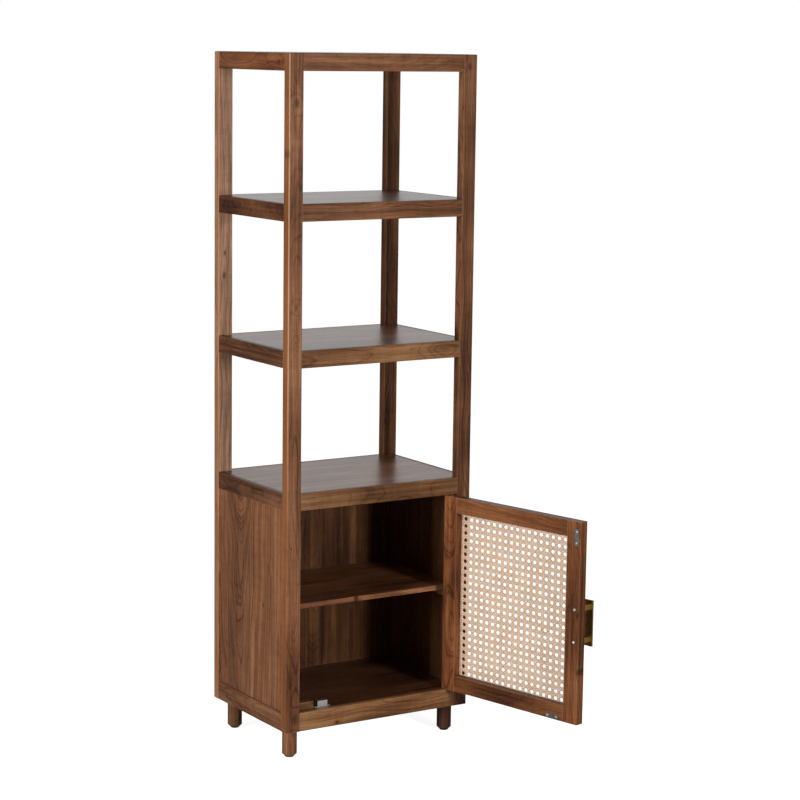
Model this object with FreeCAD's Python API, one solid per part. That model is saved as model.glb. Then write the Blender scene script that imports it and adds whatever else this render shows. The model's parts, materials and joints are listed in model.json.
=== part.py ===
import FreeCAD, Part
import math
import os

os.makedirs("parts", exist_ok=True)

# Tall etagere in solid hardwood: three open tiers on four slim posts, over a
# boarded cabinet with one right-hung door of framed cane. Lengths are in mm.
# +X is right, +Y is back, +Z is up. The unit is drawn about the middle of its
# carcass, on the floor, with the door closed and then swung open. Last of all it
# is moved, so that the origin lies on the floor under the middle of the whole box.

Vector = FreeCAD.Vector
UP = Vector(0, 0, 1)
RIGHT = Vector(1, 0, 0)
BACK = Vector(0, 1, 0)

# Carcass
WIDTH = 500.0
DEPTH = 356.0
POST_WIDE = 36.0
POST_DEEP = 24.0
POST_CORNER_ROUND = 3.0
POST_ARRIS_ROUND = 1.0
TOP_ROUND = 3.0

# Heights, from the floor up. The upper bay takes what the rest leaves
HEIGHT = 1623.0
GLIDE_HIGH = 3.0
LEG_HIGH = 67.0
FLOOR_RAIL_HIGH = 44.0
CABINET_CLEAR = 476.0
RAIL_HIGH = 40.0
LOWER_BAY_CLEAR = 288.0
MIDDLE_BAY_CLEAR = 291.0

# Rails and the boards that they carry
RAIL_THICK = 20.0
RAIL_ARRIS_ROUND = 1.5
SHELF_THICK = 16.0
LEDGE_WIDE = 8.0
SHELF_FIT = 0.2

# Tenons of the rails in the posts
TENON_THICK = 8.0
TENON_SETBACK = 4.0
TENON_MARGIN = 6.0
LONG_RAIL_TENON = 18.0
SIDE_RAIL_TENON = 12.0
MORTISE_FIT = 0.1

# Boarded walls of the cabinet
WALL_THICK = 16.0
WALL_RECESS = 4.0
WALL_TONGUE_THICK = 8.0
BACK_THICK = 12.0
BACK_TONGUE_THICK = 6.0
WALL_TONGUE_LONG = 6.0
BOARD_TONGUE_LONG = 5.0
BOARD_CHAMFER = 0.8
BOARD_FIT = 0.1
BOARD_TONGUE_SHARE = 0.36
SIDE_BOARD_SHARES = (0.16, 0.34, 0.38, 0.12)
BACK_BOARD_SHARES = (0.215, 0.2, 0.2, 0.2, 0.185)

# Shelf inside the cabinet
INNER_SHELF_THICK = 12.0
INNER_SHELF_RISE = 236.0
INNER_SHELF_SETBACK = 40.0
INNER_SHELF_FIT = 0.3
CLEAT_WIDE = 16.0
CLEAT_HIGH = 18.0
CLEAT_FRONT_INSET = 14.0

# Door
DOOR_THICK = 22.0
DOOR_GAP = 2.0
DOOR_OPEN_DEGREES = 103.0
STILE_WIDE = 40.0
DOOR_RAIL_HIGH = 38.0
DOOR_TENON_LONG = 24.0
DOOR_TENON_THICK = 7.0
DOOR_TENON_MARGIN = 6.0
HINGE_EDGE_ROUND = 4.0
DOOR_ARRIS_ROUND = 1.0

# Cane net and the beads that hold it
CANE_THICK = 1.6
BEAD_THICK = 2.0
REBATE_WIDE = 8.0
CANE_FIT = 0.2
CANE_COLUMNS = 15
CANE_ROWS = 18
CANE_HOLE_SHARE = 0.62
OCTAGON_SIDES = 8

# Pin pivots, one in each end of the hinge stile
PIVOT_FROM_POST = 11.0
PIVOT_FROM_FACE = 6.0
PIN_DIAMETER = 5.0
PIN_RUNNING_FIT = 0.05
PRESSED_FIT = 0.05
PIN_IN_DOOR = 14.0
PIN_IN_BUSH = 7.0
PIN_END_ROOM = 1.0
BUSH_OUTSIDE = 8.0
BUSH_FLANGE = 11.0
PIVOT_END_PLAY = 0.1

# Handle, a flat plate on two square feet with a screw in each
HANDLE_FROM_EDGE = 14.0
HANDLE_RISE = 232.0
HANDLE_LONG = 108.0
HANDLE_REACH = 30.0
HANDLE_WIDE = 28.0
HANDLE_PLATE_THICK = 4.0
HANDLE_FOOT = 12.0
HANDLE_ARRIS_ROUND = 0.8
HANDLE_SCREW_CENTRES = 76.0
HANDLE_SCREW_GRIP = 12.0
HANDLE_SCREW_DIAMETER = 4.0
HANDLE_SCREW_HEAD = 8.0
HANDLE_SCREW_HEAD_HIGH = 2.4
HANDLE_SCREW_CHAMFER = 1.0
SCREW_HOLE_FIT = 0.2
SCREW_END_ROOM = 1.0

# Strike plates on the door and the magnetic catches that they meet
PLATE_THICK = 1.2
STRIKE_LONG = 38.0
STRIKE_WIDE = 13.0
STRIKE_SCREW_CENTRES = 26.0
UPPER_STRIKE_FROM_EDGE = 11.0
UPPER_STRIKE_DROP = 36.0
LOWER_STRIKE_FROM_EDGE = 73.0
LOWER_STRIKE_RISE = 7.0
SMALL_SCREW_DIAMETER = 2.5
SMALL_SCREW_HEAD = 5.0
SMALL_SCREW_LONG = 11.0
SMALL_SCREW_FIT = 0.1
CATCH_GAP = 0.4
CATCH_DEEP = 13.0
CATCH_HIGH = 14.0
CATCH_CASE_LONG = 26.0
CATCH_PLATE_LONG = 40.0
CATCH_CASE_ROUND = 1.0
CATCH_BLOCK_MARGIN = 6.0
CATCH_BLOCK_DEEP = 24.0
UPPER_CATCH_SHIFT = 5.0

# Stop block behind the door's free lower corner
STOP_LONG = 50.0
STOP_DEEP = 20.0
STOP_HIGH = 17.0
STOP_GAP = 0.3
STOP_ARRIS_ROUND = 1.0

# Legs
LEG_DIAMETER = 35.0
LEG_INSET_SIDE = 34.5
LEG_INSET_FRONT = 44.0
LEG_CHAMFER = 5.5
GLIDE_DIAMETER = 21.0
GLIDE_CHAMFER = 0.8
GLIDE_PIN_DIAMETER = 5.0
GLIDE_PIN_LONG = 12.0
LEG_BLOCK_BEYOND = 24.0
LEG_BOLT_DIAMETER = 8.0
LEG_BOLT_COVER = 7.0
LEG_BOLT_IN_LEG = 30.0
LEG_BOLT_FIT = 0.1

# One overrun for every cut that must break through a face
OVERRUN = 1.0

# Planes worked out from the sizes
LEFT = -WIDTH / 2
FRONT = -DEPTH / 2
OPENING_HALF = WIDTH / 2 - POST_WIDE
UNDERSIDE = GLIDE_HIGH + LEG_HIGH
FLOOR_TOP = UNDERSIDE + FLOOR_RAIL_HIGH
CABINET_CEILING = FLOOR_TOP + CABINET_CLEAR
CABINET_TOP = CABINET_CEILING + RAIL_HIGH
MIDDLE_TOP = CABINET_TOP + LOWER_BAY_CLEAR + RAIL_HIGH
UPPER_TOP = MIDDLE_TOP + MIDDLE_BAY_CLEAR + RAIL_HIGH
TOP = HEIGHT

# Each tier: its name, its top face and the height of its rails
TIERS = (
    ("cabinet_floor", FLOOR_TOP, FLOOR_RAIL_HIGH),
    ("cabinet_top", CABINET_TOP, RAIL_HIGH),
    ("middle_shelf", MIDDLE_TOP, RAIL_HIGH),
    ("upper_shelf", UPPER_TOP, RAIL_HIGH),
    ("top", TOP, RAIL_HIGH),
)

DOOR_LEFT = -OPENING_HALF + DOOR_GAP
DOOR_RIGHT = OPENING_HALF - DOOR_GAP
DOOR_BOTTOM = FLOOR_TOP + DOOR_GAP
DOOR_TOP = CABINET_CEILING - DOOR_GAP
DOOR_INNER = FRONT + DOOR_THICK
PIVOT_X = OPENING_HALF - PIVOT_FROM_POST
PIVOT_Y = FRONT + PIVOT_FROM_FACE
CATCH_MOUTH = DOOR_INNER + PLATE_THICK + CATCH_GAP
WALL_INSIDE = -WIDTH / 2 + WALL_RECESS + WALL_THICK
UPPER_STRIKE = Vector(DOOR_LEFT + UPPER_STRIKE_FROM_EDGE, DOOR_INNER,
                      DOOR_TOP - UPPER_STRIKE_DROP)
CATCH_BLOCK_FACE = UPPER_STRIKE.x - CATCH_HIGH / 2 - UPPER_CATCH_SHIFT
LOWER_STRIKE = Vector(DOOR_LEFT + LOWER_STRIKE_FROM_EDGE, DOOR_INNER,
                      DOOR_BOTTOM + LOWER_STRIKE_RISE)

# Finished nodes by name, in the frame of the drawing
PIECES = {}


# Plain helpers

def block(x0, x1, y0, y1, z0, z1):
    """A box between two corners."""
    return Part.makeBox(x1 - x0, y1 - y0, z1 - z0, Vector(x0, y0, z0))


def rod(diameter, start, length, direction=UP):
    """A round bar from its start point."""
    return Part.makeCylinder(diameter / 2, length, start, direction)


def prism(points, z0, z1):
    """A flat outline, given as (x, y) pairs, carried up from z0 to z1."""
    corners = [Vector(x, y, z0) for x, y in points]
    face = Part.Face(Part.makePolygon(corners + corners[:1]))
    return face.extrude(Vector(0, 0, z1 - z0))


def mirror_x(shape):
    """The same shape on the other side of the middle plane."""
    return shape.mirror(Vector(0, 0, 0), RIGHT)


def mirror_y(shape):
    """The same shape at the other end of the depth."""
    return shape.mirror(Vector(0, 0, 0), BACK)


def four_corners(shape):
    """A front left shape and its three mirror images."""
    rear = mirror_y(shape)
    return [shape, mirror_x(shape), rear, mirror_x(rear)]


def edges_along(shape, axis, wanted):
    """Straight edges parallel to an axis whose middle passes a test."""
    found = []
    for edge in shape.Edges:
        if len(edge.Vertexes) < 2:
            continue
        span = edge.Vertexes[1].Point - edge.Vertexes[0].Point
        if abs(span.dot(axis)) < span.Length * math.cos(math.radians(1)):
            continue
        if wanted(edge.CenterOfMass):
            found.append(edge)
    return found


def near(value, target):
    """Whether two places are the same plane."""
    return abs(value - target) < MORTISE_FIT / 2


def soften(shape, radius, axis, wanted):
    """Round the chosen straight edges."""
    return shape.makeFillet(radius, edges_along(shape, axis, wanted))


def keep(name, *solids):
    """Hold one node, one solid or a group of separate solids, until all are made."""
    PIECES[name] = solids[0] if len(solids) == 1 else Part.makeCompound(list(solids))


# Posts

def tenon_levels(top, high, grow):
    """Lowest and highest point of a rail's tenon."""
    return top - high + TENON_MARGIN - grow, top - TENON_MARGIN + grow


def long_rail_tenon(top, high, grow):
    """Tenon of a front rail in the front left post, grown to cut its mortise."""
    low, level = tenon_levels(top, high, grow)
    y0 = FRONT + TENON_SETBACK
    x1 = LEFT + POST_WIDE
    reach = OVERRUN if grow else 0
    return block(x1 - LONG_RAIL_TENON - grow, x1 + reach,
                 y0 - grow, y0 + TENON_THICK + grow, low, level)


def side_rail_tenon(top, high, grow):
    """Tenon of a left rail in the front left post, grown to cut its mortise."""
    low, level = tenon_levels(top, high, grow)
    x0 = LEFT + TENON_SETBACK
    y1 = FRONT + POST_DEEP
    reach = OVERRUN if grow else 0
    return block(x0 - grow, x0 + TENON_THICK + grow,
                 y1 - SIDE_RAIL_TENON - grow, y1 + reach, low, level)


def post_front_left():
    """Post with a rounded outer corner, a rounded head and its mortises."""
    x1, y1 = LEFT + POST_WIDE, FRONT + POST_DEEP
    post = block(LEFT, x1, FRONT, y1, UNDERSIDE, TOP)
    post = soften(post, POST_CORNER_ROUND, UP,
                  lambda p: near(p.x, LEFT) and near(p.y, FRONT))
    post = soften(post, POST_ARRIS_ROUND, UP,
                  lambda p: near(p.x, x1) and near(p.y, FRONT)
                  or near(p.x, LEFT) and near(p.y, y1)
                  or near(p.x, x1) and near(p.y, y1))
    post = soften(post, TOP_ROUND, BACK,
                  lambda p: near(p.z, TOP) and near(p.x, LEFT))
    for name, top, high in TIERS:
        post = post.cut(long_rail_tenon(top, high, MORTISE_FIT))
        post = post.cut(side_rail_tenon(top, high, MORTISE_FIT))
    return post


def side_wall_groove():
    """Groove in the post for the tongue of the side wall."""
    x0 = LEFT + WALL_RECESS
    y1 = FRONT + POST_DEEP
    return block(x0 - BOARD_FIT, x0 + WALL_TONGUE_THICK + BOARD_FIT,
                 y1 - WALL_TONGUE_LONG - BOARD_FIT, y1 + OVERRUN,
                 FLOOR_TOP, CABINET_CEILING)


def back_wall_groove():
    """Groove in the post for the tongue of the back wall, drawn at the front."""
    x1 = LEFT + POST_WIDE
    y0 = FRONT + WALL_RECESS
    return block(x1 - WALL_TONGUE_LONG - BOARD_FIT, x1 + OVERRUN,
                 y0 - BOARD_FIT, y0 + BACK_TONGUE_THICK + BOARD_FIT,
                 FLOOR_TOP, CABINET_CEILING)


def make_posts():
    """Four posts. Only the rear pair is grooved for the back wall."""
    front_left = post_front_left().cut(side_wall_groove())
    rear_left = mirror_y(front_left.cut(back_wall_groove()))
    keep("front_left_post", front_left)
    keep("front_right_post", mirror_x(front_left))
    keep("rear_left_post", rear_left)
    keep("rear_right_post", mirror_x(rear_left))


# Tiers of rails and boards

def upper_round(top):
    """Rounding of a rail's upper outer edge, larger round the very top."""
    return TOP_ROUND if top == TOP else RAIL_ARRIS_ROUND


def long_rail(top, high):
    """Front rail, with a ledge for the boards and a tenon at each end."""
    y1 = FRONT + RAIL_THICK
    bottom = top - high
    rail = block(-OPENING_HALF, OPENING_HALF, FRONT, y1, bottom, top)
    rail = rail.cut(block(-OPENING_HALF - OVERRUN, OPENING_HALF + OVERRUN,
                          y1 - LEDGE_WIDE, y1 + OVERRUN,
                          top - SHELF_THICK, top + OVERRUN))
    rail = soften(rail, RAIL_ARRIS_ROUND, RIGHT,
                  lambda p: near(p.y, FRONT) and near(p.z, bottom))
    rail = soften(rail, upper_round(top), RIGHT,
                  lambda p: near(p.y, FRONT) and near(p.z, top))
    tenon = long_rail_tenon(top, high, 0)
    return rail.fuse([tenon, mirror_x(tenon)]).removeSplitter()


def side_rail(top, high):
    """Left rail, with a ledge for the boards and a tenon at each end."""
    x1 = LEFT + RAIL_THICK
    y0 = FRONT + POST_DEEP
    bottom = top - high
    rail = block(LEFT, x1, y0, -y0, bottom, top)
    rail = rail.cut(block(x1 - LEDGE_WIDE, x1 + OVERRUN,
                          y0 - OVERRUN, -y0 + OVERRUN,
                          top - SHELF_THICK, top + OVERRUN))
    rail = soften(rail, RAIL_ARRIS_ROUND, BACK,
                  lambda p: near(p.x, LEFT) and near(p.z, bottom))
    rail = soften(rail, upper_round(top), BACK,
                  lambda p: near(p.x, LEFT) and near(p.z, top))
    tenon = side_rail_tenon(top, high, 0)
    return rail.fuse([tenon, mirror_y(tenon)]).removeSplitter()


def tier_boards(top):
    """Glued-up boards, notched round the posts and resting on the ledges."""
    x0 = LEFT + RAIL_THICK - LEDGE_WIDE + SHELF_FIT
    y0 = FRONT + RAIL_THICK - LEDGE_WIDE + SHELF_FIT
    boards = block(x0, -x0, y0, -y0, top - SHELF_THICK, top)
    notch = block(x0 - OVERRUN, LEFT + POST_WIDE + SHELF_FIT,
                  y0 - OVERRUN, FRONT + POST_DEEP + SHELF_FIT,
                  top - SHELF_THICK - OVERRUN, top + OVERRUN)
    return boards.cut(four_corners(notch))


def side_tongue_groove(z0, z1):
    """Groove in a left rail for the tongue of the side wall."""
    x0 = LEFT + WALL_RECESS
    y0 = FRONT + POST_DEEP
    return block(x0 - BOARD_FIT, x0 + WALL_TONGUE_THICK + BOARD_FIT,
                 y0, -y0, z0, z1)


def back_tongue_groove(z0, z1):
    """Groove in a rear rail for the tongue of the back wall, drawn at the front."""
    y0 = FRONT + WALL_RECESS
    return block(-OPENING_HALF, OPENING_HALF,
                 y0 - BOARD_FIT, y0 + BACK_TONGUE_THICK + BOARD_FIT, z0, z1)


def pivot_bore(z0, z1):
    """Hole for a pivot bush in a front rail."""
    return rod(BUSH_OUTSIDE + 2 * PRESSED_FIT, Vector(PIVOT_X, PIVOT_Y, z0), z1 - z0)


def make_tiers():
    """Four rails and one set of boards at each level."""
    tongue_room = WALL_TONGUE_LONG + BOARD_FIT
    bush_room = PIN_IN_BUSH + PIN_END_ROOM
    for name, top, high in TIERS:
        front, side = long_rail(top, high), side_rail(top, high)
        back, boards = front.copy(), tier_boards(top)
        if name == "cabinet_floor":
            boards = boards.cut([on_floor(hole) for hole in catch_screws(SMALL_SCREW_FIT)])
            front = front.cut(pivot_bore(top - bush_room, top + OVERRUN))
            side = side.cut(side_tongue_groove(top - tongue_room, top + OVERRUN))
            back = back.cut(back_tongue_groove(top - tongue_room, top + OVERRUN))
        if name == "cabinet_top":
            under = top - high
            front = front.cut(pivot_bore(under - OVERRUN, under + bush_room))
            side = side.cut(side_tongue_groove(under - OVERRUN, under + tongue_room))
            back = back.cut(back_tongue_groove(under - OVERRUN, under + tongue_room))
        keep(name + "_front_rail", front)
        keep(name + "_back_rail", mirror_y(back))
        keep(name + "_left_rail", side)
        keep(name + "_right_rail", mirror_x(side))
        keep(name + "_boards", boards)


# Boarded walls

def board_outline(u0, u1, thick, frame_tongue, first, last):
    """Section of one upright board. u runs along the wall, v into its thickness."""
    tongue = thick * BOARD_TONGUE_SHARE
    v0, v1 = (thick - tongue) / 2, (thick + tongue) / 2
    edge = BOARD_CHAMFER
    if first:
        start = [(u0, thick), (u0, frame_tongue),
                 (u0 - WALL_TONGUE_LONG, frame_tongue), (u0 - WALL_TONGUE_LONG, 0)]
    else:
        deep = BOARD_TONGUE_LONG + BOARD_FIT
        start = [(u0 + edge, thick), (u0, thick - edge),
                 (u0, v1 + BOARD_FIT), (u0 + deep, v1 + BOARD_FIT),
                 (u0 + deep, v0 - BOARD_FIT), (u0, v0 - BOARD_FIT),
                 (u0, edge), (u0 + edge, 0)]
    if last:
        end = [(u1 + WALL_TONGUE_LONG, 0), (u1 + WALL_TONGUE_LONG, frame_tongue),
               (u1, frame_tongue), (u1, thick)]
    else:
        end = [(u1 - edge, 0), (u1, edge), (u1, v0), (u1 + BOARD_TONGUE_LONG, v0),
               (u1 + BOARD_TONGUE_LONG, v1), (u1, v1), (u1, thick - edge),
               (u1 - edge, thick)]
    return start + end


def boarded_wall(half, thick, frame_tongue, shares):
    """Upright tongued boards, tongued all round into the frame."""
    low, high = FLOOR_TOP - WALL_TONGUE_LONG, CABINET_CEILING + WALL_TONGUE_LONG
    reach = half + WALL_TONGUE_LONG + OVERRUN
    waste = []
    for z0, z1 in ((low - OVERRUN, FLOOR_TOP), (CABINET_CEILING, high + OVERRUN)):
        waste.append(block(-reach, reach, frame_tongue, thick + OVERRUN, z0, z1))
        waste.append(block(-reach, -half, -OVERRUN, thick + OVERRUN, z0, z1))
        waste.append(block(half, reach, -OVERRUN, thick + OVERRUN, z0, z1))
    boards = []
    u0 = -half
    for index, share in enumerate(shares):
        u1 = u0 + 2 * half * share / sum(shares)
        first, last = index == 0, index == len(shares) - 1
        board = prism(board_outline(u0, u1, thick, frame_tongue, first, last), low, high)
        boards.append(board.cut(waste))
        u0 = u1
    return boards


def make_walls():
    """Left and right walls are mirror images. The back wall has its own boards."""
    half = DEPTH / 2 - POST_DEEP
    right = []
    for board in boarded_wall(half, WALL_THICK, WALL_TONGUE_THICK, SIDE_BOARD_SHARES):
        board.rotate(Vector(0, 0, 0), UP, 90)
        board.translate(Vector(WIDTH / 2 - WALL_RECESS, 0, 0))
        right.append(board)
    keep("right_side_wall", *right)
    keep("left_side_wall", *[mirror_x(board) for board in right])
    back = []
    for board in boarded_wall(OPENING_HALF, BACK_THICK, BACK_TONGUE_THICK,
                              BACK_BOARD_SHARES):
        board.rotate(Vector(0, 0, 0), UP, 180)
        board.translate(Vector(0, DEPTH / 2 - WALL_RECESS, 0))
        back.append(board)
    keep("back_wall", *back)


# Shelf inside the cabinet

def make_inner_shelf():
    """Loose board on two cleats, notched round the rear posts."""
    half = WIDTH / 2 - WALL_RECESS - WALL_THICK
    underside = FLOOR_TOP + INNER_SHELF_RISE
    top = underside + INNER_SHELF_THICK
    front = FRONT + INNER_SHELF_SETBACK
    rear = DEPTH / 2 - WALL_RECESS - BACK_THICK - INNER_SHELF_FIT
    side = half - INNER_SHELF_FIT
    shelf = block(-side, side, front, rear, underside, top)
    notch = block(-half - OVERRUN, -OPENING_HALF + INNER_SHELF_FIT,
                  DEPTH / 2 - POST_DEEP - INNER_SHELF_FIT, rear + OVERRUN,
                  underside - OVERRUN, top + OVERRUN)
    shelf = shelf.cut([notch, mirror_x(notch)])
    shelf = soften(shelf, RAIL_ARRIS_ROUND, RIGHT, lambda p: near(p.y, front))
    keep("inner_shelf", shelf)
    cleat = block(-half, -half + CLEAT_WIDE, front + CLEAT_FRONT_INSET,
                  DEPTH / 2 - POST_DEEP, underside - CLEAT_HIGH, underside)
    keep("inner_shelf_cleats", cleat, mirror_x(cleat))


# Door, drawn closed

def swing(shape):
    """Turn a closed door piece to the open rest position."""
    turned = shape.copy()
    turned.rotate(Vector(PIVOT_X, PIVOT_Y, 0), UP, DOOR_OPEN_DEGREES)
    return turned


def door_tenon(z0, z1, grow):
    """Right-hand tenon of a door rail, grown to cut its mortise."""
    x0 = DOOR_RIGHT - STILE_WIDE
    y0 = FRONT + (DOOR_THICK - DOOR_TENON_THICK) / 2
    reach = OVERRUN if grow else 0
    return block(x0 - reach, x0 + DOOR_TENON_LONG + grow,
                 y0 - grow, y0 + DOOR_TENON_THICK + grow,
                 z0 + DOOR_TENON_MARGIN - grow, z1 - DOOR_TENON_MARGIN + grow)


def cane_seat():
    """Rebate for the cane and its beads, cut from the outer face."""
    depth = CANE_THICK + BEAD_THICK
    x1 = DOOR_RIGHT - STILE_WIDE + REBATE_WIDE
    inset = DOOR_RAIL_HIGH - REBATE_WIDE
    return block(-x1, x1, FRONT - OVERRUN, FRONT + depth,
                 DOOR_BOTTOM + inset, DOOR_TOP - inset)


def hinge_stile():
    """Right stile: rounded outer hinge edge, two mortises and two pin holes."""
    x0 = DOOR_RIGHT - STILE_WIDE
    stile = block(x0, DOOR_RIGHT, FRONT, DOOR_INNER, DOOR_BOTTOM, DOOR_TOP)
    stile = soften(stile, HINGE_EDGE_ROUND, UP,
                   lambda p: near(p.x, DOOR_RIGHT) and near(p.y, FRONT))
    stile = soften(stile, DOOR_ARRIS_ROUND, UP,
                   lambda p: near(p.x, DOOR_RIGHT) and near(p.y, DOOR_INNER))
    depth = PIN_IN_DOOR + PIN_END_ROOM
    for start in (DOOR_BOTTOM - OVERRUN, DOOR_TOP - depth):
        stile = stile.cut(rod(PIN_DIAMETER + 2 * PRESSED_FIT,
                              Vector(PIVOT_X, PIVOT_Y, start), depth + OVERRUN))
    return stile


def handle_screw_places():
    """Middle of each handle screw, on the stile's height."""
    middle = FLOOR_TOP + HANDLE_RISE
    half = HANDLE_SCREW_CENTRES / 2
    return (middle - half, middle + half)


def free_stile():
    """Left stile: two mortises and two holes for the handle's screws."""
    stile = block(DOOR_LEFT, DOOR_LEFT + STILE_WIDE, FRONT, DOOR_INNER,
                  DOOR_BOTTOM, DOOR_TOP)
    stile = soften(stile, DOOR_ARRIS_ROUND, UP, lambda p: near(p.x, DOOR_LEFT))
    hole = HANDLE_SCREW_DIAMETER + 2 * SCREW_HOLE_FIT
    for level in handle_screw_places():
        start = Vector(DOOR_LEFT + HANDLE_FROM_EDGE, FRONT - OVERRUN, level)
        stile = stile.cut(rod(hole, start, DOOR_THICK + 2 * OVERRUN, BACK))
    return stile


def door_rail(z0, z1):
    """Rail between the stiles, with a tenon at each end."""
    x1 = DOOR_RIGHT - STILE_WIDE
    rail = block(-x1, x1, FRONT, DOOR_INNER, z0, z1)
    tenon = door_tenon(z0, z1, 0)
    return rail.cut(cane_seat()).fuse([tenon, mirror_x(tenon)]).removeSplitter()


def octagon(x, z, half, y):
    """Closed wire of an eight-sided hole in the plane of the cane."""
    step = 2 * math.pi / OCTAGON_SIDES
    radius = half / math.cos(step / 2)
    points = []
    for index in range(OCTAGON_SIDES):
        angle = (index + 1 / 2) * step
        points.append(Vector(x + radius * math.cos(angle), y,
                             z + radius * math.sin(angle)))
    return Part.makePolygon(points + points[:1])


def cane_net():
    """Sheet of woven cane as one holed face, carried to its thickness."""
    y = FRONT + BEAD_THICK
    seat_x = DOOR_RIGHT - STILE_WIDE + REBATE_WIDE - CANE_FIT
    inset = DOOR_RAIL_HIGH - REBATE_WIDE + CANE_FIT
    z0, z1 = DOOR_BOTTOM + inset, DOOR_TOP - inset
    corners = [Vector(-seat_x, y, z0), Vector(seat_x, y, z0),
               Vector(seat_x, y, z1), Vector(-seat_x, y, z1)]
    sight_x = DOOR_RIGHT - STILE_WIDE
    sight_z0, sight_z1 = DOOR_BOTTOM + DOOR_RAIL_HIGH, DOOR_TOP - DOOR_RAIL_HIGH
    pitch_x = 2 * sight_x / CANE_COLUMNS
    pitch_z = (sight_z1 - sight_z0) / CANE_ROWS
    half = min(pitch_x, pitch_z) * CANE_HOLE_SHARE / 2
    wires = [Part.makePolygon(corners + corners[:1])]
    for column in range(CANE_COLUMNS):
        for row in range(CANE_ROWS):
            wires.append(octagon(-sight_x + (column + 1 / 2) * pitch_x,
                                 sight_z0 + (row + 1 / 2) * pitch_z, half, y))
    return Part.Face(wires).extrude(Vector(0, CANE_THICK, 0))


def cane_beads():
    """Four mitred strips, flush with the door's outer face."""
    out_x = DOOR_RIGHT - STILE_WIDE + REBATE_WIDE
    in_x = DOOR_RIGHT - STILE_WIDE
    out_z0 = DOOR_BOTTOM + DOOR_RAIL_HIGH - REBATE_WIDE
    out_z1 = DOOR_TOP - DOOR_RAIL_HIGH + REBATE_WIDE
    in_z0, in_z1 = out_z0 + REBATE_WIDE, out_z1 - REBATE_WIDE
    outer = ((-out_x, out_z0), (out_x, out_z0), (out_x, out_z1), (-out_x, out_z1))
    inner = ((-in_x, in_z0), (in_x, in_z0), (in_x, in_z1), (-in_x, in_z1))
    beads = []
    for index in range(len(outer)):
        after = (index + 1) % len(outer)
        ring = (outer[index], outer[after], inner[after], inner[index])
        corners = [Vector(x, FRONT, z) for x, z in ring]
        face = Part.Face(Part.makePolygon(corners + corners[:1]))
        beads.append(face.extrude(Vector(0, BEAD_THICK, 0)))
    return beads


def make_door():
    """Frame, cane and beads, swung to the rest position."""
    low = (DOOR_BOTTOM, DOOR_BOTTOM + DOOR_RAIL_HIGH)
    high = (DOOR_TOP - DOOR_RAIL_HIGH, DOOR_TOP)
    stiles = {"door_hinge_stile": hinge_stile(), "door_free_stile": free_stile()}
    screw_holes = strike_screws(SMALL_SCREW_FIT)
    for name, stile in stiles.items():
        stile = stile.cut(cane_seat()).cut(screw_holes)
        for z0, z1 in (low, high):
            mortise = door_tenon(z0, z1, MORTISE_FIT)
            stile = stile.cut([mortise, mirror_x(mortise)])
        keep(name, swing(stile))
    keep("door_bottom_rail", swing(door_rail(*low).cut(screw_holes)))
    keep("door_top_rail", swing(door_rail(*high)))
    keep("door_cane", swing(cane_net()))
    keep("door_cane_beads", *[swing(bead) for bead in cane_beads()])


# Pivots

def pivot_pin(face, direction):
    """Pin through the gap at one end of the door. Direction points at the carcass."""
    start = face - direction * PIN_IN_DOOR
    length = PIN_IN_DOOR + DOOR_GAP + PIN_IN_BUSH
    pin = rod(PIN_DIAMETER, Vector(PIVOT_X, PIVOT_Y, start), length,
              Vector(0, 0, direction))
    return pin


def pivot_bush(face, direction):
    """Flanged bush in a rail. The flange takes up the gap at the door's end."""
    place = Vector(PIVOT_X, PIVOT_Y, face)
    into = Vector(0, 0, direction)
    depth = PIN_IN_BUSH + PIN_END_ROOM
    flange = DOOR_GAP - PIVOT_END_PLAY
    bush = rod(BUSH_OUTSIDE, place, depth, into)
    bush = bush.fuse(rod(BUSH_FLANGE, place, flange, -into))
    bore_start = Vector(PIVOT_X, PIVOT_Y, face - direction * (flange + OVERRUN))
    bore = rod(PIN_DIAMETER + 2 * PIN_RUNNING_FIT, bore_start,
               flange + OVERRUN + PIN_IN_BUSH + PIN_END_ROOM / 2, into)
    return bush.cut(bore).removeSplitter()


def make_pivots():
    """One pin and one bush at the top and the bottom."""
    keep("door_pivot_pins", pivot_pin(DOOR_BOTTOM, -1), pivot_pin(DOOR_TOP, 1))
    keep("door_pivot_bushes", pivot_bush(FLOOR_TOP, -1), pivot_bush(CABINET_CEILING, 1))


# Handle

def handle_body():
    """Flat plate parallel to the door, on a square foot round each screw."""
    middle_x = DOOR_LEFT + HANDLE_FROM_EDGE
    middle = FLOOR_TOP + HANDLE_RISE
    reach = FRONT - HANDLE_REACH
    inside = reach + HANDLE_PLATE_THICK
    plate = block(middle_x - HANDLE_WIDE / 2, middle_x + HANDLE_WIDE / 2, reach, inside,
                  middle - HANDLE_LONG / 2, middle + HANDLE_LONG / 2)
    rim = [edge for axis in (UP, RIGHT)
           for edge in edges_along(plate, axis, lambda p: near(p.y, reach))]
    body = plate.makeFillet(HANDLE_ARRIS_ROUND, rim)
    half = HANDLE_FOOT / 2
    for level in handle_screw_places():
        body = body.fuse(block(middle_x - half, middle_x + half, inside, FRONT,
                               level - half, level + half))
    for level in handle_screw_places():
        start = Vector(middle_x, FRONT + OVERRUN, level)
        depth = HANDLE_SCREW_GRIP + SCREW_END_ROOM + OVERRUN
        bore = HANDLE_SCREW_DIAMETER + SCREW_HOLE_FIT
        body = body.cut(rod(bore, start, depth, -BACK))
    return body.removeSplitter()


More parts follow.
